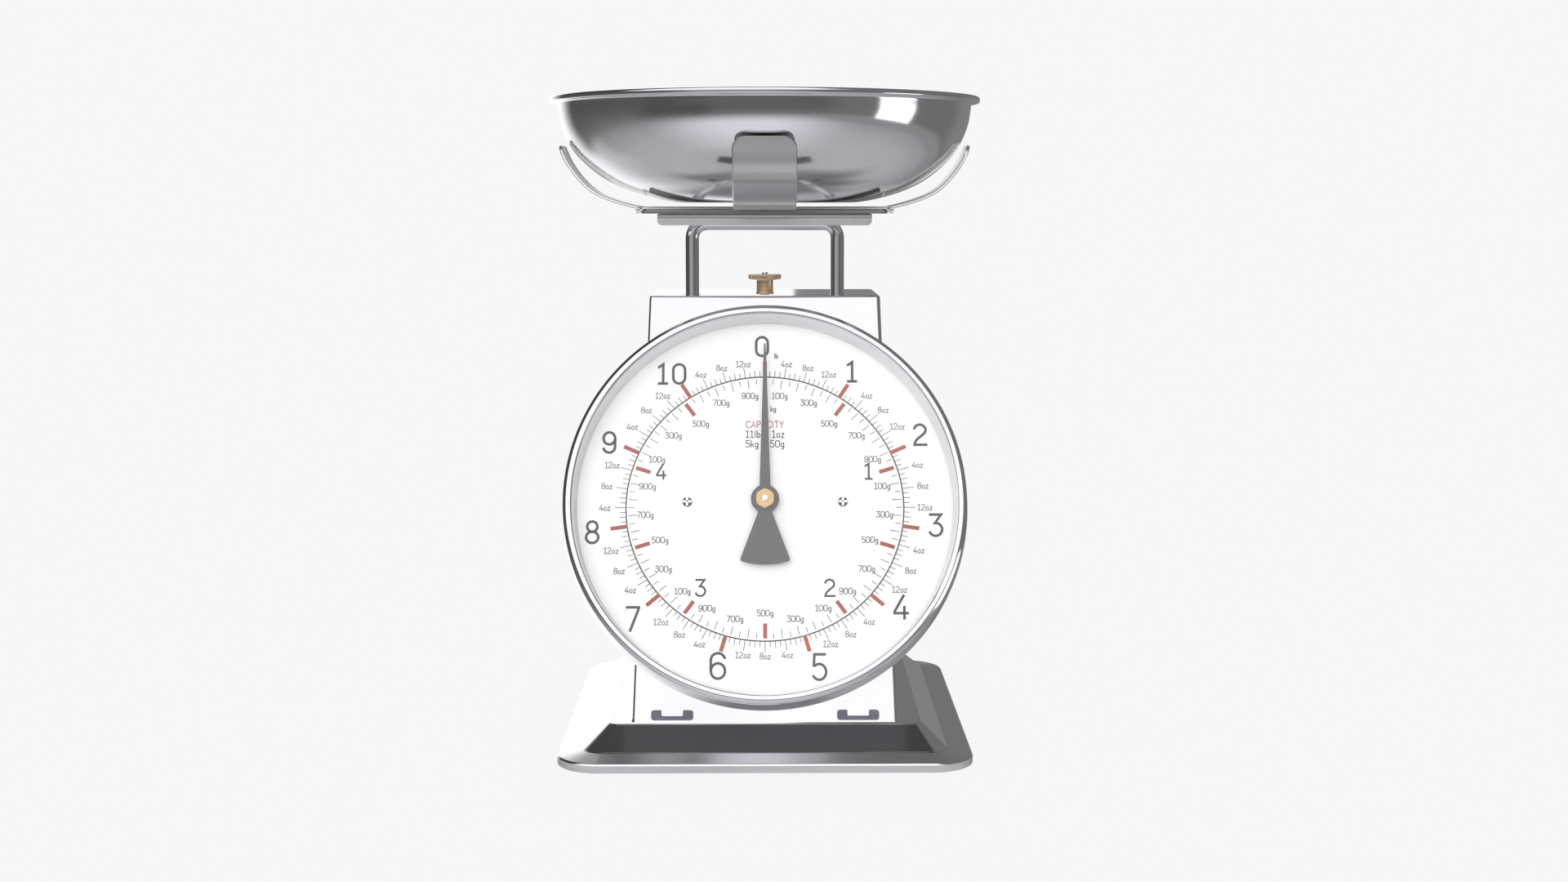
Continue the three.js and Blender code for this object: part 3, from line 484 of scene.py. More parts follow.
def housing_piece():
    keys = [
        (*housing_ring(HOUSING_LOW, 0, 0, 2.6, 0.5), 0),
        (*housing_ring(HOUSING_LOW + 1.2, 0, 0, 2.6), 0.9),
        (*housing_ring(TOP, 0, 0, 2.6), 1.3),
        (*housing_ring(TOP, 0, 6, 2.0), 0),
    ]
    verts, faces = loft(rounded(keys, steps=5), 6)
    cavity = loft([
        housing_ring(HOUSING_LOW - 1, 1.2, 0, 1.6),
        housing_ring(TOP - 1.2, 1.2, 0, 1.6),
    ], 6)
    cuts = [(*cavity, None), slot_cutter(-47.9), slot_cutter(47.9)]
    for side in (-1, 1):
        cuts.append((*cylinder(5.3, TOP - 8, TOP + 8, side * 39.3), None))
        cuts.append((*cylinder(1.9, -8, 8, side * 40.8, SCREW_UP, 24), DIAL))
    cuts.append((*cylinder(3.0, TOP - 8, TOP + 8), None))
    cuts.append((*cylinder(4.4, -8, 8, 0, AXIS_UP, 32), DIAL))
    back_hole = prism([(-52, 30), (52, 30), (47, 222), (-47, 222)], -10, 10,
                      Matrix.Translation((0, BACK, 0)) @ Matrix.Rotation(math.pi / 2, 4, "X"))
    cuts.append((*back_hole, None))
    mesh = carve(verts, faces, cuts, None, 0.0)
    finish_piece("housing_shell", mesh, "housing", "stand", ["housing"], 30)
    # behind each slot a thin dark blue-grey sheet: painted shade standing in for the shaded inside of the
    # housing
    turn = Matrix.Translation((0, FRONT_LOW, HOUSING_LOW)) @ Matrix.Rotation(math.pi / 2 - LEAN, 4, "X")
    for side, word in ((-1, "left"), (1, "right")):
        x = side * 47.9
        sheet_outline = rounded([(x - 13, 0.5, 2), (x + 13, 0.5, 2), (x + 13, 8, 2), (x - 13, 8, 2)], True, 4)
        mesh = carve(*prism(sheet_outline, -2.6, -1.7), [], turn, 0.2)
        finish_piece("slot_tab_" + word, mesh, "slot_tab", "stand")


housing_piece()


def cover_piece():
    outline = [(-63.5, 22, 3), (63.5, 22, 3), (58.2, 228, 3), (-58.2, 228, 3)]
    turn = Matrix.Translation((0, BACK + 1.5, 0)) @ Matrix.Rotation(math.pi / 2, 4, "X")
    verts, faces = prism(rounded(outline, True, 6), 0, 1.2, turn)
    ribs = []
    mesh = carve(verts, faces, ribs, None, 0.3)
    finish_piece("rear_panel", mesh, "cover", "stand", ["rear_cover"])


cover_piece()

# ---------------------------------------------------------------- cradle, plate and channel
BAR_Z, ROD = 272.5, 3.7
CHANNEL_TOP = BAR_Z + ROD + 0.3 + 1.1
PLATE_LOW = CHANNEL_TOP + 0.3
PLATE_HIGH = PLATE_LOW + 1.6
STRAP = 1.7
SIDE_LOW = PLATE_HIGH + 0.3
FRONT_STRAP_LOW = SIDE_LOW + STRAP + 0.3
FLAT = Matrix.Rotation(math.pi / 2, 4, "X")


def strap_piece(name, low, look, turn, node):
    arm = [(58, 0), (66.5, 0.3), (80.6, 3.9), (91.5, 8.7), (99.4, 15.8), (106.3, 25.4), (109.7, 33.8)]
    path = catmull([(-x, low + z) for x, z in reversed(arm)] + [(x, low + z) for x, z in arm], 8)
    half, corner = 16.0, 6.6
    length = [0.0]
    for (ax, az), (bx, bz) in zip(path, path[1:]):
        length.append(length[-1] + math.hypot(bx - ax, bz - az))
    total = length[-1]
    slopes = []
    for i in range(len(path)):
        (ax, az), (bx, bz) = path[max(i - 1, 0)], path[min(i + 1, len(path) - 1)]
        run = math.hypot(bx - ax, bz - az)
        slopes.append(((bx - ax) / run, (bz - az) / run))
    edge = 0.45
    stations = sorted(set(
        [round(edge, 4), round(total - edge, 4)] +
        [round(corner * (1 - math.cos(math.pi / 2 * k / 8)), 4) for k in range(9)]
        + [round(total - corner * (1 - math.cos(math.pi / 2 * k / 8)), 4) for k in range(9)]
        + [round(s, 4) for s in length if corner < s < total - corner]
    ))
    verts, faces = [], []
    for s in stations:
        i = max(k for k in range(len(length)) if length[k] <= s + 1e-6)
        i = min(i, len(path) - 2)
        t = (s - length[i]) / max(length[i + 1] - length[i], 1e-9)
        (ax, az), (bx, bz) = path[i], path[i + 1]
        px, pz = ax + (bx - ax) * t, az + (bz - az) * t
        (cx, cz), (dx, dz) = slopes[i], slopes[i + 1]
        cx, cz = cx + (dx - cx) * t, cz + (dz - cz) * t
        run = math.hypot(cx, cz)
        nx, nz = -cz / run, cx / run
        end = min(s, total - s)
        wide = half
        if end < corner:
            wide = half - corner + math.sqrt(max(corner ** 2 - (corner - end) ** 2, 0))
        thin = max(edge - end, 0)
        low_side, high_side = thin, STRAP - thin
        section = [(-wide + edge, low_side), (-wide, edge), (-wide, STRAP - edge), (-wide + edge, high_side)]
        section += [(wide - edge, high_side), (wide, STRAP - edge), (wide, edge), (wide - edge, low_side)]
        for y, h in section:
            verts.append((px + nx * h, y, pz + nz * h))
    ring = 8
    for i in range(len(stations) - 1):
        for k in range(ring):
            j = (k + 1) % ring
            a, b = i * ring, (i + 1) * ring
            faces.append([a + k, a + j, b + j, b + k])
    faces.append(list(range(ring)))
    faces.append(list(range(len(verts) - ring, len(verts)))[::-1])
    verts = [tuple(turn @ Vector(v)) for v in verts]
    obj = piece(name, verts, faces, look, "load_carriage", "cradle_steel", [node], None, 30, False)
    if look == "strap_painted_light":
        # the strap's long side faces take a painted highlight
        second_look(obj, "painted_highlight", lambda at, normal: abs(normal.y) > 0.85)


def catmull(points, per):
    out = []
    for i in range(len(points) - 1):
        p0 = Vector(points[max(i - 1, 0)])
        p1, p2 = Vector(points[i]), Vector(points[i + 1])
        p3 = Vector(points[min(i + 2, len(points) - 1)])
        for k in range(per):
            t = k / per
            out.append(tuple(0.5 * ((2 * p1) + (p2 - p0) * t + (2 * p0 - 5 * p1 + 4 * p2 - p3) * t ** 2
                                    + (3 * p1 - p0 - 3 * p2 + p3) * t ** 3)))
    out.append(tuple(points[-1]))
    return out


# the side strap takes the lighter, painted-light copy of the steel
strap_piece("strap_side", SIDE_LOW, "strap_painted_light", Matrix.Identity(4), "cradle_strap_side")
ACROSS = Matrix.Rotation(math.pi / 2, 4, "Z")
strap_piece("strap_front", FRONT_STRAP_LOW, "strap_front", ACROSS, "cradle_strap_front")

outline = rounded([(-64.8, -30, 3), (64.8, -30, 3), (64.8, 30, 3), (-64.8, 30, 3)], True, 6)
mesh = carve(*prism(outline, PLATE_LOW, PLATE_HIGH), [], None, 0.35)
finish_piece("plate_sheet", mesh, "plate_dark", "load_carriage", ["cradle_plate"])


def channel_piece():
    """Inverted channel: the outline of its section, carried along X, with its ends' lower corners rounded."""
    hx, hy, low, sheet = 57.2, 17.0, 271.6, 1.1
    section = rounded([
        (-hy, low, 0.3), (-hy, CHANNEL_TOP, 2.8), (hy, CHANNEL_TOP, 2.8), (hy, low, 0.3),
        (hy - sheet, low, 0.3), (hy - sheet, CHANNEL_TOP - sheet, 1.7),
        (-hy + sheet, CHANNEL_TOP - sheet, 1.7), (-hy + sheet, low, 0.3),
    ], True, 5)
    turn = Matrix(((0, 0, 1, 0), (1, 0, 0, 0), (0, 1, 0, 0), (0, 0, 0, 1)))
    verts, faces = prism(section, -hx, hx, turn)
    cuts = []
    for side in (-1, 1):
        x, r = side * hx, 2.6
        corner = [(x + side * 1, low - 1)]
        corner.append((x - side * r, low - 1))
        for k in range(9):
            a = math.pi / 2 * k / 8
            corner.append((x - side * r + side * r * math.sin(a), low + r - r * math.cos(a)))
        corner.append((x + side * 1, low + r))
        cuts.append((*prism(corner, -30, 30, FLAT), None))
    mesh = carve(verts, faces, cuts, None, 0.2)
    obj = finish_piece("channel_sheet", mesh, "brush_x", "load_carriage", ["yoke_channel"])
    # the channel's rounded top takes a painted highlight
    second_look(obj, "painted_highlight", lambda at, normal: 0.35 < normal.z < 0.97 and at.z > CHANNEL_TOP - 3)


channel_piece()


# ---------------------------------------------------------------- yoke rod
def yoke_piece():
    x0, low, bend = 39.3, 152.6, 8.1
    high = BAR_Z - bend
    half = [(-x0, 0, low), (-x0, 0, 171.9), (-x0, 0, 200), (-x0, 0, 233), (-x0, 0, high - 0.5)]
    for k in range(13):
        a = math.pi / 2 * k / 12
        half.append((-x0 + bend * (1 - math.cos(a)), 0, high + bend * math.sin(a)))
    half.append((-20, 0, BAR_Z))
    path = half + [(-x, y, z) for x, y, z in reversed(half)]
    verts, faces = tube(path, ROD, 40)
    piece("yoke_rod", verts, faces, "rod", "load_carriage", "yoke_steel", ["support_yoke"], None, 40, False)
    for side, word in ((-1, "left"), (1, "right")):
        outline = rounded([(0, 139.5, 0), (2.4, 139.5, 0.5), (2.4, low - 0.1, 0), (0, low - 0.1, 0)])
        stud = lathe(outline, 32, (side * x0, 0))
        piece("yoke_thread_" + word, *stud, "zinc", "load_carriage", "yoke_steel")


yoke_piece()


# ---------------------------------------------------------------- bowl
def bowl_piece():
    floor = 283.7
    outer = [(0, floor), (30, floor), (47, floor), (52, floor + 0.4), (60, 285.5), (70, 288.2), (78, 291.2),
             (85, 294.8), (91, 299), (96.4, 303.8), (101, 308.8), (104.9, 314.8), (107.7, 320.8),
             (109.6, 327.4), (110.5, 334.2)]
    outer = [outer[0]] + catmull(outer[1:], 4)
    lip = [(110.5, 334.2, 0), (110.7, 336.0, 1.0), (113.6, 336.15, 0.8), (115.2, 336.4, 0.9),
           (115.2, 339.1, 1.1), (112.4, 339.35, 1.2), (110.0, 338.4, 1.6), (109.6, 334.2, 0)]
    inner = [(r - 0.95 * nr, z + 0.95 * nz) for r, z, nr, nz in with_normals(outer)]
    inner[-1] = (109.6, 334.2)
    inner[0] = (0, floor + 0.95)
    profile = outer[:-1] + rounded(lip, steps=6) + inner[::-1][1:]
    verts, faces = lathe(profile, 160)
    piece("bowl_spun", verts, faces, "bowl", "bowl", "bowl_steel", ["bowl"], None, 50, False)


def with_normals(line):
    out = []
    for i, (r, z) in enumerate(line):
        ar, az = line[max(i - 1, 0)]
        br, bz = line[min(i + 1, len(line) - 1)]
        run = math.hypot(br - ar, bz - az)
        out.append((r, z, (bz - az) / run, (br - ar) / run))
    return out


bowl_piece()


# ---------------------------------------------------------------- zero knob
def knob_piece():
    foot = TOP + 0.3
    outline = rounded([
        (0, 212, 0), (2.4, 212, 0.4), (2.5, foot, 0), (4.9, foot, 0.3), (4.9, foot + 0.9, 0.3),
        (4.5, foot + 1.3, 0.2),
        (4.5, 241.9, 0.5), (8.3, 242.4, 0.2), (8.9, 242.7, 0.3), (8.9, 244.7, 0.3), (8.3, 245.0, 0.2),
        (2.2, 245.0, 0.2), (0, 244.9, 0),
    ], steps=3)
    segments = 120
    verts, faces = lathe(outline, segments)
    done = []
    for x, y, z in verts:
        r = math.hypot(x, y)
        if r > 8.5 and 242.6 < z < 244.8:
            a = math.atan2(y, x)
            k = 1 - 0.022 * (0.5 + 0.5 * math.cos(a * 60))
            x, y = x * k, y * k
        done.append((x, y, z))
    piece("knob_turned", done, faces, "bronze", "zero_knob", "brass", ["zero_knob"], None, 30, False)
    tip = rounded([(0, 244.8, 0), (1.6, 244.8, 0), (1.6, 246.2, 0.4), (0, 246.2, 0)], steps=3)
    piece("knob_screw_end", *lathe(tip, 40), "ring", "zero_knob", "brass", (), None, 30, False)


knob_piece()

# ---------------------------------------------------------------- dial drum, bezel, spacer, lens, face
drum = rounded([
    (46, 0.3, 0.2), (105.6, 0.3, 0.5), (106.4, 1.1, 0.8), (103.4, 18.9, 0.3), (102.0, 18.9, 0.3),
    (105.1, 1.6, 0.4), (46, 1.5, 0.2),
], True, 4)
piece("drum_pan", *lathe(drum, 192), "ring", "stand", "dial_steel", ["dial_drum"], DIAL, 40, False)
bezel = rounded([
    (99.8, 20.2, 0.15), (101.3, 20.2, 0.15), (101.3, 19.3, 0.15), (103.3, 19.3, 0.2), (103.5, 17.2, 0.15),
    (104.38, 17.2, 0.2), (104.38, 20.1, 0.6), (102.4, 22.0, 0.6), (99.8, 22.0, 0.9),
], True, 8)
piece("bezel_turned", *lathe(bezel, 192), "ring", "stand", "dial_steel", ["bezel_ring"], DIAL, 40, False)
spacer = rounded([(98.5, 2.85, 0.1), (100.3, 2.85, 0.2), (100.3, 18, 0.3), (99.3, 18, 0.3)], True, 3)
piece("spacer_inner", *lathe(spacer, 192), "satin", "stand", "dial_steel", ["spacer_ring"], DIAL, 40, False)
lens = rounded([(0, 18.3, 0), (100.4, 18.3, 0.3), (100.4, 19.9, 0.3), (0, 19.9, 0)], steps=3)
glass = piece("lens_disc", *lathe(lens, 128), "lens", "stand", "lens", ["dial_lens"], DIAL, 40, False)
glass.visible_shadow = False
face = rounded([(0, 1.8, 0), (98.9, 1.8, 0.2), (98.9, DIAL_FACE, 0.25), (0, DIAL_FACE, 0)], steps=3)
piece("dial_sheet", *lathe(face, 160), "enamel", "stand", "dial_face", ["dial_plate"], DIAL, 40, False)


# ---------------------------------------------------------------- printing on the dial
def arc(cx, cy, rx, ry, a0, a1, steps=14):
    return [(cx + rx * math.cos(math.radians(a0 + (a1 - a0) * k / steps)),
             cy + ry * math.sin(math.radians(a0 + (a1 - a0) * k / steps))) for k in range(steps + 1)]


GLYPHS = {
    "0": (0.60, [
        arc(0.30, 0.70, 0.30, 0.30, 0, 180) + arc(0.30, 0.30, 0.30, 0.30, 180, 360) + [(0.60, 0.70)],
    ]),
    "1": (0.46, [[(0.02, 0.84), (0.25, 1.0), (0.25, 0.0)], [(0.02, 0.0), (0.46, 0.0)]]),
    "2": (0.58, [
        arc(0.28, 0.73, 0.28, 0.27, 165, -35) + [(0.14, 0.27), (0.05, 0.14), (0.02, 0.0), (0.60, 0.0)],
    ]),
    "3": (0.58, [[(0.02, 1.0), (0.54, 1.0), (0.25, 0.60)] + arc(0.28, 0.31, 0.30, 0.30, 84, -155)]),
    "4": (0.58, [[(0.40, 1.0), (0.0, 0.30), (0.0, 0.24), (0.58, 0.24)], [(0.42, 0.52), (0.42, 0.0)]]),
    "5": (0.54, [[(0.50, 1.0), (0.08, 1.0), (0.05, 0.56)] + arc(0.265, 0.31, 0.275, 0.31, 128, -150)]),
    "6": (0.58, [arc(0.30, 0.73, 0.28, 0.27, 15, 180) + arc(0.30, 0.30, 0.28, 0.30, 180, 540, 28)]),
    "7": (0.52, [[(0.0, 1.0), (0.52, 1.0), (0.52, 0.95), (0.16, 0.0)]]),
    "8": (0.56, [arc(0.28, 0.76, 0.235, 0.24, -90, 270, 22), arc(0.28, 0.265, 0.28, 0.265, 90, 450, 22)]),
    "9": (0.58, [arc(0.28, 0.27, 0.28, 0.27, 195, 360) + arc(0.28, 0.70, 0.28, 0.30, 0, 360, 28)]),
    "l": (0.10, [[(0.05, 1.0), (0.05, 0.0)]]),
    "b": (0.44, [[(0.03, 1.0), (0.03, 0.0)], arc(0.24, 0.30, 0.21, 0.29, 180, -180, 16)]),
    "k": (0.40, [[(0.03, 1.0), (0.03, 0.0)], [(0.38, 0.6), (0.04, 0.26)], [(0.16, 0.36), (0.40, 0.0)]]),
    "g": (0.46, [
        arc(0.22, 0.31, 0.20, 0.29, 0, 360, 16),
        [(0.42, 0.6), (0.42, -0.1)] + arc(0.22, -0.1, 0.2, 0.2, 0, -150, 8),
    ]),
    "o": (0.46, [arc(0.23, 0.30, 0.22, 0.30, 0, 360, 16)]),
    "z": (0.42, [[(0.02, 0.6), (0.40, 0.6), (0.02, 0.0), (0.42, 0.0)]]),
    "x": (0.40, [[(0.02, 0.55), (0.38, 0.05)], [(0.02, 0.05), (0.38, 0.55)]]),
    "C": (0.58, [arc(0.32, 0.68, 0.30, 0.32, 20, 180, 10) + arc(0.32, 0.32, 0.30, 0.32, 180, 340, 10)]),
    "A": (0.62, [[(0.0, 0.0), (0.31, 1.0), (0.62, 0.0)], [(0.12, 0.34), (0.50, 0.34)]]),
    "P": (0.54, [
        [(0.04, 0.0), (0.04, 1.0), (0.28, 1.0)] + arc(0.28, 0.74, 0.25, 0.26, 90, -90, 10) + [(0.04, 0.48)],
    ]),
    "I": (0.12, [[(0.06, 0.0), (0.06, 1.0)]]),
    "T": (0.58, [[(0.0, 1.0), (0.58, 1.0)], [(0.29, 1.0), (0.29, 0.0)]]),
    "Y": (0.58, [[(0.0, 1.0), (0.29, 0.48), (0.58, 1.0)], [(0.29, 0.48), (0.29, 0.0)]]),
    " ": (0.30, []),
}


class Ink:
    """Flat strokes gathered into one thin printed piece."""

    def __init__(self, height):
        self.verts, self.faces, self.height = [], [], height

    def stroke(self, line, width):
        line = [
            Vector(p) for i, p in enumerate(line)
            if i == 0 or (Vector(p) - Vector(line[i - 1])).length > 1e-6
        ]
        closed = (line[0] - line[-1]).length < 1e-4 and len(line) > 4
        start = len(self.verts)
        for i, p in enumerate(line):
            before = line[i - 1] if i else (line[-2] if closed else None)
            after = line[i + 1] if i + 1 < len(line) else (line[1] if closed else None)
            d1 = (p - before).normalized() if before is not None else None
            d2 = (after - p).normalized() if after is not None else None
            d1, d2 = d1 or d2, d2 or d1
            n1, n2 = Vector((-d1.y, d1.x)), Vector((-d2.y, d2.x))
            normal = n1 + n2
            normal = normal.normalized() if normal.length > 1e-6 else n1
            reach = width / 2 / max(normal.dot(n1), 0.45)
            push = Vector((0, 0))
            if not closed and i in (0, len(line) - 1):
                push = (d1 if i else -d1) * width * 0.3
            for sign in (1, -1):
                q = p + normal * reach * sign + push
                self.verts.append((q.x, q.y, self.height))
        for i in range(len(line) - 1):
            a = start + 2 * i
            self.faces.append([a, a + 1, a + 3, a + 2])

    def text(self, words, x, y, size, width, spacing=0.17):
        total = sum(GLYPHS[c][0] + spacing for c in words) - spacing
        pen = x - total * size / 2
        for c in words:
            wide, lines = GLYPHS[c]
            for line in lines:
                self.stroke([(pen + px * size, y + (py - 0.5) * size) for px, py in line], width)
            pen += (wide + spacing) * size

    def tick(self, turn, r0, r1, width):
        self.stroke([spot(r0, turn), spot(r1, turn)], width)

    def build(self, name, look):
        return piece(name, self.verts, self.faces, look, "stand", "dial_face", (), DIAL, 40, False)


def spot(radius, turn):
    """A point of the printed scale, clockwise from the top."""
    return radius * WIDE * math.sin(turn), PRINT_UP + radius * TALL * math.cos(turn)


# The pound figures are placed a little off the even spacing of their ticks
POUND_OFFSETS = (
    (-1.5, 0.5), (-2.3, 0.4), (0.4, 3.0), (0.7, 2.7), (3.0, 4.0), (2.7, -0.7),
    (0.7, 0.0), (-1.0, -2.0), (-1.6, -0.7), (-0.4, -1.0), (-1.0, -0.7),
)


def printing():
    ring, stroke, turn_of = 71.5, 1.42, lambda part: 2 * math.pi * part
    black, grey, red = Ink(DIAL_FACE + 0.05), Ink(DIAL_FACE + 0.04), Ink(DIAL_FACE + 0.06)
    black.stroke([spot(ring, turn_of(k / 180)) for k in range(181)], 0.72)
    for k in range(176):
        turn = turn_of(k / 176)
        if k % 16 == 0:
            red.tick(turn, ring + 0.3, ring + 8.0, 2.1)
        else:
            grey.tick(turn, ring + 0.3, ring + (5.8 if k % 4 == 0 else 3.5 if k % 2 == 0 else 2.9), 0.42)
    for k in range(100):
        turn = turn_of(k / 100)
        if k % 10 == 0:
            red.tick(turn, ring - 8.8, ring - 2.1, 2.1)
        else:
            grey.tick(turn, ring - (5.9 if k % 2 == 0 else 3.9), ring - 1.2, 0.42)
    for pound in range(11):
        x, y = spot(88.0, turn_of(pound / 11))
        size = 12.65 - 0.011 * y + 0.022 * max(0, -y - 40)
        aside, above = POUND_OFFSETS[pound]
        black.text(str(pound), x + aside, y + above, size - stroke, stroke, 0.3)
        for quarter in (1, 2, 3):
            turn = turn_of((pound + quarter / 4) / 11)
            x, y = spot(79.4 + 3.0 * abs(math.sin(turn)) ** 1.5, turn)
            grey.text(f"{4 * quarter}oz", x, y, 3.1, 0.48)
    for step in range(50):
        grams = (step * 100) % 1000
        if grams in (100, 300, 500, 700, 900):
            x, y = spot(61.6 if grams != 500 else 56.6, turn_of(step / 50))
            grey.text(f"{grams}g", x, y, 3.1, 0.5)
    for kilo in (1, 2, 3, 4):
        x, y = spot(56.2, turn_of(kilo / 5))
        black.text(str(kilo), x, y + 2.2, 8.2 - 0.008 * y, 1.05)
    black.text("lb", 6.0, 81.0, 2.6, 0.45)
    black.text("kg", 4.4, 52.2, 2.6, 0.45)
    red.text("CAPACITY", 0, 43.8, 3.5, 0.46, 0.2)
    black.text("11lb x 1oz", 0, 38.6, 3.6, 0.5, 0.2)
    black.text("5kg x 50g", 0, 33.4, 3.6, 0.5, 0.2)
    black.build("print_black", "black_ink")
    grey.build("print_grey", "grey_ink")
    red.build("print_red", "red_ink")


printing()


# ---------------------------------------------------------------- screws, pointer and nut
def cross_screw(name, x, y, low, radius, matrix, body, node, shank=1.2, end=-6.0, look="zinc"):
    head = rounded([
        (0, end, 0), (shank, end, 0.3), (shank, low, 0), (radius, low, 0.15), (radius, low + 0.6, 0.3),
        (radius * 0.6, low + 1.35, 0.8), (0, low + 1.5, 0),
    ], steps=4)
    cuts = []
    for wide, deep in ((0.32, 1.5), (1.5, 0.32)):
        corners = [(x - wide, y - deep), (x + wide, y - deep), (x + wide, y + deep), (x - wide, y + deep)]
        cuts.append((*prism(corners, low + 0.7, low + 3), matrix))
    verts, faces = lathe(head, 40, (x, y))
    mesh = carve(verts, faces, cuts, matrix, 0.0)
    finish_piece(name, mesh, look, body, [node], 35, False)


for side, word in ((-1, "left"), (1, "right")):
    x, seat = side * 40.8, DIAL_FACE + 0.3
    cross_screw("face_screw_" + word, x, SCREW_UP, seat, 2.5, DIAL, "stand", "dial_screw_" + word,
                look="dark_zinc")
    # the heads are kept dark, and white bars laid over them are a painted highlight for their bright
    # reflection
    highlight_bars = Ink(seat + 1.52)
    for across, along in ((1.9, 0), (0, 1.9)):
        highlight_bars.stroke([(x - across, SCREW_UP - along), (x + across, SCREW_UP + along)], 1.25)
    highlight_bars.build("face_screw_cross_" + word, "enamel")
REAR = Matrix.Translation((0, BACK + 1.5, 0)) @ Matrix.Rotation(-math.pi / 2, 4, "X")
for i, (x, z) in enumerate([(-58, 32), (58, 32), (-54, 216), (54, 216)]):
    cross_screw(f"cover_screw_{i + 1}", x, -z, 0.3, 3.0, REAR, "stand", f"rear_screw_{i + 1}")


def pointer_piece():
    hub, tail = 7.4, 34.6
    half = [(0.45, 83.4), (2.85, 7.0)]
    half += [(hub * math.cos(math.radians(a)), hub * math.sin(math.radians(a))) for a in range(60, -60, -10)]
    half += [(3.6, -6.9), (12.8, -31.4), (12.85, -32.3), (12.2, -32.9), (8, -34.0), (4, -tail + 0.1)]
    outline = [(-x, y) for x, y in reversed(half)]
    outline = half + [(0, -tail)] + outline
    outline = [(x, y + AXIS_UP) for x, y in outline][::-1]
    low, high = 6.8, 7.7
    sleeve = rounded([(0, low - 2.2, 0), (3, low - 2.2, 0.3), (3, low + 0.3, 0), (0, low + 0.3, 0)])
    sleeve = lathe(sleeve, 40, (0, AXIS_UP))
    mesh = carve(*prism(outline, low, high), [], DIAL, 0.14, [(*sleeve, DIAL)])
    finish_piece("pointer_blade", mesh, "pointer", "pointer", ["pointer"])


pointer_piece()


def nut_piece():
    low, reach = 8.0, 5.3
    turns = [math.radians(60 * k + 30) for k in range(6)]
    hexagon = [(reach * math.cos(a), reach * math.sin(a) + AXIS_UP) for a in turns]
    verts, faces = prism(hexagon, low, low + 2.6)
    cone = [(5.9, low - 1), (5.9, low + 3.6), (3.4, low + 3.6), (5.45, low + 2.1), (5.45, low - 1)]
    cone = lathe(cone, 48, (0, AXIS_UP))
    hole = cylinder(1.72, low - 1, low + 4, 0, AXIS_UP, 32)
    mesh = carve(verts, faces, [(*cone, DIAL), (*hole, DIAL)], DIAL, 0.12)
    finish_piece("pointer_hexnut", mesh, "nut", "pointer", ["pointer_nut"])


nut_piece()


# ---------------------------------------------------------------- springs (in the real scale they stretch with the load)
def spring_piece(side, word):
    x, high, low, loop, coil = side * 20, 212.4, 157.0, 3.3, 5.6
    points = []
    top, bottom = high - loop, low + loop
    for k in range(17):
        a = math.radians(-60 + 330 * k / 16)
        points.append((0, loop * math.cos(a), top + loop * math.sin(a)))
    start, end = top - loop - 2.6, bottom + loop + 2.6
    points += [(1.6, 0.4, top - loop - 0.5), (4.2, 0.6, top - loop - 1.4)]
    count = 9 * 20
    for k in range(count + 1):
        a = 2 * math.pi * k / 20 + 0.25
        points.append((coil * math.cos(a), coil * math.sin(a), start + (end - start) * k / count))
    points += [(4.2, 2.2, end - 1.2), (1.6, 1.6, bottom + loop + 0.5)]
    for k in range(17):
        a = math.radians(90 + 330 * k / 16)
        points.append((0, loop * math.cos(a), bottom + loop * math.sin(a)))
    verts, faces = tube([(x + px, py, pz) for px, py, pz in points], 0.8, 10)
    node = "main_spring_" + word
    obj = piece("spring_" + word, verts, faces, "spring", None, "spring_steel", [node], None, 60, False)
    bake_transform(obj)


for side, word in ((-1, "left"), (1, "right")):
    spring_piece(side, word)

# ---------------------------------------------------------------- CAD nodes that keep their shape
KEPT = {
    "zinc": [
        "movement_frame", "guide_bracket_left", "guide_bracket_right", "load_bar", "leg_nut_left",
        "leg_nut_right", "stop_clip_left", "stop_clip_right", "rack_screw", "spring_hanger",
        "base_screw_1", "base_screw_2", "base_screw_3", "base_screw_4",
    ],
    "brass": ["front_bush", "rear_bush", "rack"],
    "ring": ["pinion_shaft"],
    "nylon": ["rod_bush_left", "rod_bush_right"],
    "rubber": ["foot_front_left", "foot_front_right", "foot_rear_left", "foot_rear_right"],
    "brush_y": ["cradle_rivet_front", "cradle_rivet_rear"],
}
for look, names in KEPT.items():
    for name in names:
        node = frame["nodes"][name]
        for item in node.material_slots:
            item.material = M[look]
        if look not in ("rubber", "brush_y"):
            node.visible_glossy = False

# pieces that mirrors leave out, so that the base, the bowl and the straps show the studio in their place
UNREFLECTED = (
    "drum_", "bezel_", "spacer_", "lens_", "dial_sheet", "print_", "face_screw", "pointer_", "nut_",
    "housing_shell", "slot_tab", "rear_panel", "cover_screw", "spring_", "knob_", "yoke_thread", "base_pan",
)
for obj in bpy.data.objects:
    if obj.name.startswith(UNREFLECTED):
        obj.visible_glossy = False

# ---------------------------------------------------------------- studio


# Tone of the bare studio by elevation: a pale floor that fades to a dark horizon and ceiling
FLOOR_FADE = (
    (-90, 0.42), (-60, 0.47), (-42, 0.42), (-30, 0.32), (-20, 0.17),
    (-12, 0.12), (0, 0.08), (10, 0.06), (90, 0.055),
)
# The seam straight behind the object, where the bright and the dim back walls meet
SEAM = 179.25
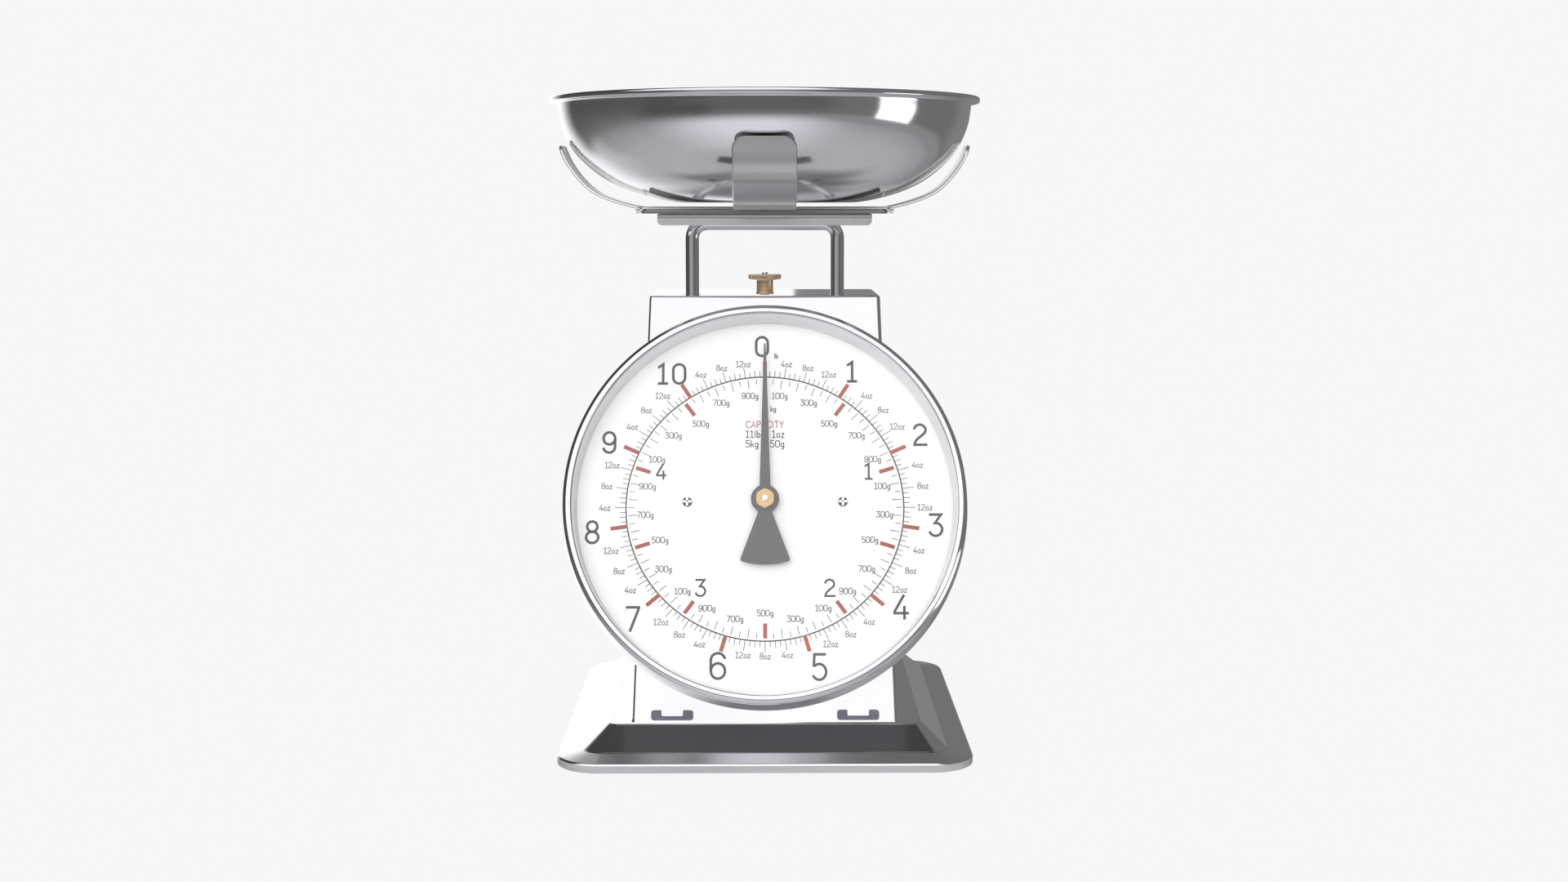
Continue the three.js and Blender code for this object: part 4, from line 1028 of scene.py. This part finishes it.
# Soft-edged panels round the object, each over the ones before it. Azimuth is 0 ahead of the dial and 90 on
# its right: first side, last side, fade outside each; then elevation: foot, top, fade below and above; tone.
PANELS = (
    ("pool of light on the floor ahead", -20, 0, 64, 64, -38, -35, 47, 14, 0.77),
    ("floor glow on the right", 50, SEAM, 24, 0.15, -26, -24, 6, 7, 0.27),
    ("floor glow at the back left", -160, -136, 20, 22, -36, -28, 18, 8, 0.55),
    ("right wall", 50, 150, 24, 13, -18, 62, 6, 14, 0.17),
    ("back right wall", 163, SEAM, 13, 0.15, -18, 22, 6, 30, 0.18),
    ("foot of the back right wall", 145, SEAM, 20, 0.15, -16, 3, 5, 5, 0.225),
    ("dark foot of the left wall", -62, -38, 24, 16, -14, -9, 14, 5, 0.085),
    ("back right floor glow", 168, SEAM, 8, 0.15, -29, -25, 8, 8, 0.40),
    ("far edge of the floor ahead", -32, -5, 24, 45, -4, 8, 6, 6, 0.40),
    ("front wall", -62, 26, 24, 24, 13, 76, 9, 5, 1.15),
    ("step over the back left wall", SEAM, -157, 0.15, 21, 17, 30, 4, 17, 0.35),
    ("back left wall", SEAM, -157, 0.15, 24, -22, 17, 22, 14, 1.10),
    ("dark behind on the left", SEAM, -174, 0.15, 10, -44, -32, 14, 12, 0.20),
    ("dark fan on the right", 163, SEAM, 14, 0.15, -58, -48, 30, 12, 0.15),
    ("its low end", 150, 163, 25, 10, -62, -58, 28, 12, 0.17),
    ("dark behind on the right", 171, SEAM, 6, 0.15, -50, -40, 10, 12, 0.20),
    ("dark fan on the left", -164, -152, 10, 16, -62, -58, 28, 11, 0.20),
    ("softbox low on the right", 66.5, 90.5, 1.5, 1.5, -21.5, -6.5, 2, 1.5, 1.50),
)
# Dark streaks behind: middle and half width in azimuth, share
STREAKS = ((-175.2, 1.3, 0.85), (-177.7, 0.8, 0.85), (178.9, 0.5, 0.4), (177.6, 0.5, 0.8))


def panel(n, around, up, tone, first, last, first_fade, last_fade, foot, top, foot_fade, top_fade, level):
    """The tone with one soft-edged panel laid over it."""
    half = ((last - first) % 360) / 2
    offset = n.maths("WRAP", n.maths("SUBTRACT", around, first + half), 180.0, -180.0)
    sides = n.maths(
        "MULTIPLY",
        n.span(offset, -half - first_fade, -half, smooth=True),
        n.span(offset, half + last_fade, half, smooth=True),
    )
    ends = n.maths(
        "MULTIPLY",
        n.span(up, foot - foot_fade, foot, smooth=True),
        n.span(up, top + top_fade, top, smooth=True),
    )
    share = n.maths("MULTIPLY", sides, ends)
    return n.maths("MULTIPLY_ADD", share, n.maths("SUBTRACT", level, tone), tone)


def world():
    made = bpy.data.worlds.new("studio")
    bpy.context.scene.world = made
    made.use_nodes = True
    tree = made.node_tree
    tree.nodes.clear()
    n = Nodes(tree)
    way = n.add("ShaderNodeTexCoord").outputs["Generated"]
    x, y, z = n.add("ShaderNodeSeparateXYZ", {0: way}).outputs
    height = n.span(n.maths("ARCSINE", z), -math.pi / 2, math.pi / 2)
    around = n.span(n.maths("ARCTAN2", x, n.maths("MULTIPLY", y, -1.0)), -math.pi, math.pi, -180, 180)
    up = n.span(height, 0, 1, -90, 90)
    tone = n.ramp(height, [(0.5 + elevation / 180, level) for elevation, level in FLOOR_FADE])
    for _name, *sizes in PANELS:
        tone = panel(n, around, up, tone, *sizes)
    # the floor is faintly lilac
    lilac = n.span(up, -24, -32)
    green = n.maths("MULTIPLY", tone, n.span(lilac, 0, 1, 1.0, 0.989))
    blue = n.maths("MULTIPLY", tone, n.span(lilac, 0, 1, 1.0, 1.042))
    colour = n.add("ShaderNodeCombineXYZ", {0: tone, 1: green, 2: blue}).outputs[0]
    # a soft glow straight behind, low down, between dark streaks
    low = n.maths("MULTIPLY", n.span(up, 26, 33, smooth=True), n.span(up, 48, 40, smooth=True))
    glow = n.span(n.maths("ABSOLUTE", around), 176.6, 179.6, smooth=True)
    colour = n.mix(n.maths("MULTIPLY", glow, low), colour, (0.66, 0.66, 0.72))
    for middle, half, share in STREAKS:
        away = n.maths("ABSOLUTE", n.maths("SUBTRACT", around, middle))
        streak = n.maths("MULTIPLY", n.span(away, half, 0.0, smooth=True), low)
        colour = n.mix(n.maths("MULTIPLY", streak, share), colour, (0.02, 0.02, 0.03))
    camera = n.add("ShaderNodeLightPath").outputs["Is Camera Ray"]
    lit = n.add("ShaderNodeBackground", {"Color": colour, "Strength": 1.0}).outputs[0]
    seen = n.add("ShaderNodeBackground", {"Color": (0.93, 0.93, 0.93, 1), "Strength": 1.0}).outputs[0]
    both = n.add("ShaderNodeMixShader", {0: camera, 1: lit, 2: seen}).outputs[0]
    out = n.add("ShaderNodeOutputWorld")
    tree.links.new(both, out.inputs["Surface"])


world()


def floor():
    mesh = bpy.data.meshes.new("floor")
    size = 30
    corners = [(-size, -size, 0), (size, -size, 0), (size, size, 0), (-size, size, 0)]
    mesh.from_pydata(corners, [], [[0, 1, 2, 3]])
    obj = bpy.data.objects.new("floor", mesh)
    bpy.context.scene.collection.objects.link(obj)
    made = bpy.data.materials.new("floor_pale")
    made.use_nodes = True
    tree = made.node_tree
    tree.nodes.clear()
    n = Nodes(tree)
    # painted contact shadow: the floor darkens where the object is near
    contact_shade = n.add("ShaderNodeAmbientOcclusion", {"Distance": 0.06}, samples=16).outputs["AO"]
    tone = n.ramp(contact_shade, [(0.0, 0.55), (0.3, 0.84), (0.7, 0.92), (1.0, 0.93)])
    seen = n.add("ShaderNodeEmission", {"Color": tone, "Strength": 1.0}).outputs[0]
    out = n.add("ShaderNodeOutputMaterial")
    tree.links.new(seen, out.inputs["Surface"])
    mesh.materials.append(made)
    obj.visible_glossy = obj.visible_diffuse = obj.visible_shadow = False


floor()


def flag():
    """A dark card that only mirrors see: it keeps the bowl out of the base's front slope."""
    mesh = bpy.data.meshes.new("flag")
    low, high, wide, up = -0.106, -0.078, 0.078, 0.1
    corners = [(-wide, low, up), (wide, low, up), (wide, high, up), (-wide, high, up)]
    mesh.from_pydata(corners, [], [[0, 1, 2, 3]])
    obj = bpy.data.objects.new("flag", mesh)
    bpy.context.scene.collection.objects.link(obj)
    made = bpy.data.materials.new("flag_dark")
    made.use_nodes = True
    tree = made.node_tree
    tree.nodes.clear()
    n = Nodes(tree)
    seen = n.add("ShaderNodeEmission", {"Color": (0.082, 0.082, 0.085, 1), "Strength": 1.0}).outputs[0]
    tree.links.new(seen, n.add("ShaderNodeOutputMaterial").inputs["Surface"])
    mesh.materials.append(made)
    obj.visible_camera = obj.visible_diffuse = obj.visible_shadow = obj.visible_transmission = False


flag()


def softbox(name, place, target, wide, high, power, glossy=True):
    light = bpy.data.lights.new(name, "AREA")
    light.shape, light.size, light.size_y, light.energy = "RECTANGLE", wide, high, power
    obj = bpy.data.objects.new(name, light)
    bpy.context.scene.collection.objects.link(obj)
    obj.location = place
    obj.rotation_euler = (Vector(target) - Vector(place)).to_track_quat("-Z", "Y").to_euler()
    obj.visible_camera = False
    obj.visible_glossy = glossy


softbox("key_front", (-0.5, -2.4, 1.2), (0, 0, 0.15), 1.6, 1.2, 23, False)
softbox("key_low", (0.3, -2.2, 0.22), (0, 0, 0.25), 1.6, 0.3, 9, False)
for side, word in ((-1, "left"), (1, "right")):
    softbox("fill_" + word, (side * 2.0, -1.3, 0.35), (0, 0, 0.13), 1.2, 1.2, 3.5, False)

# ---------------------------------------------------------------- camera
camera = bpy.data.cameras.new("camera")
camera.sensor_width = 36
camera.lens = 2475 / 1920 * 36
camera.clip_start, camera.clip_end = 0.05, 100
view = bpy.data.objects.new("camera", camera)
bpy.context.scene.collection.objects.link(view)
view.location = (0, -1.1, 0.2854)
view.rotation_euler = (math.radians(90 - 6.82), 0, math.radians(-0.544))
bpy.context.scene.camera = view
bpy.context.scene.view_settings.view_transform = "Standard"
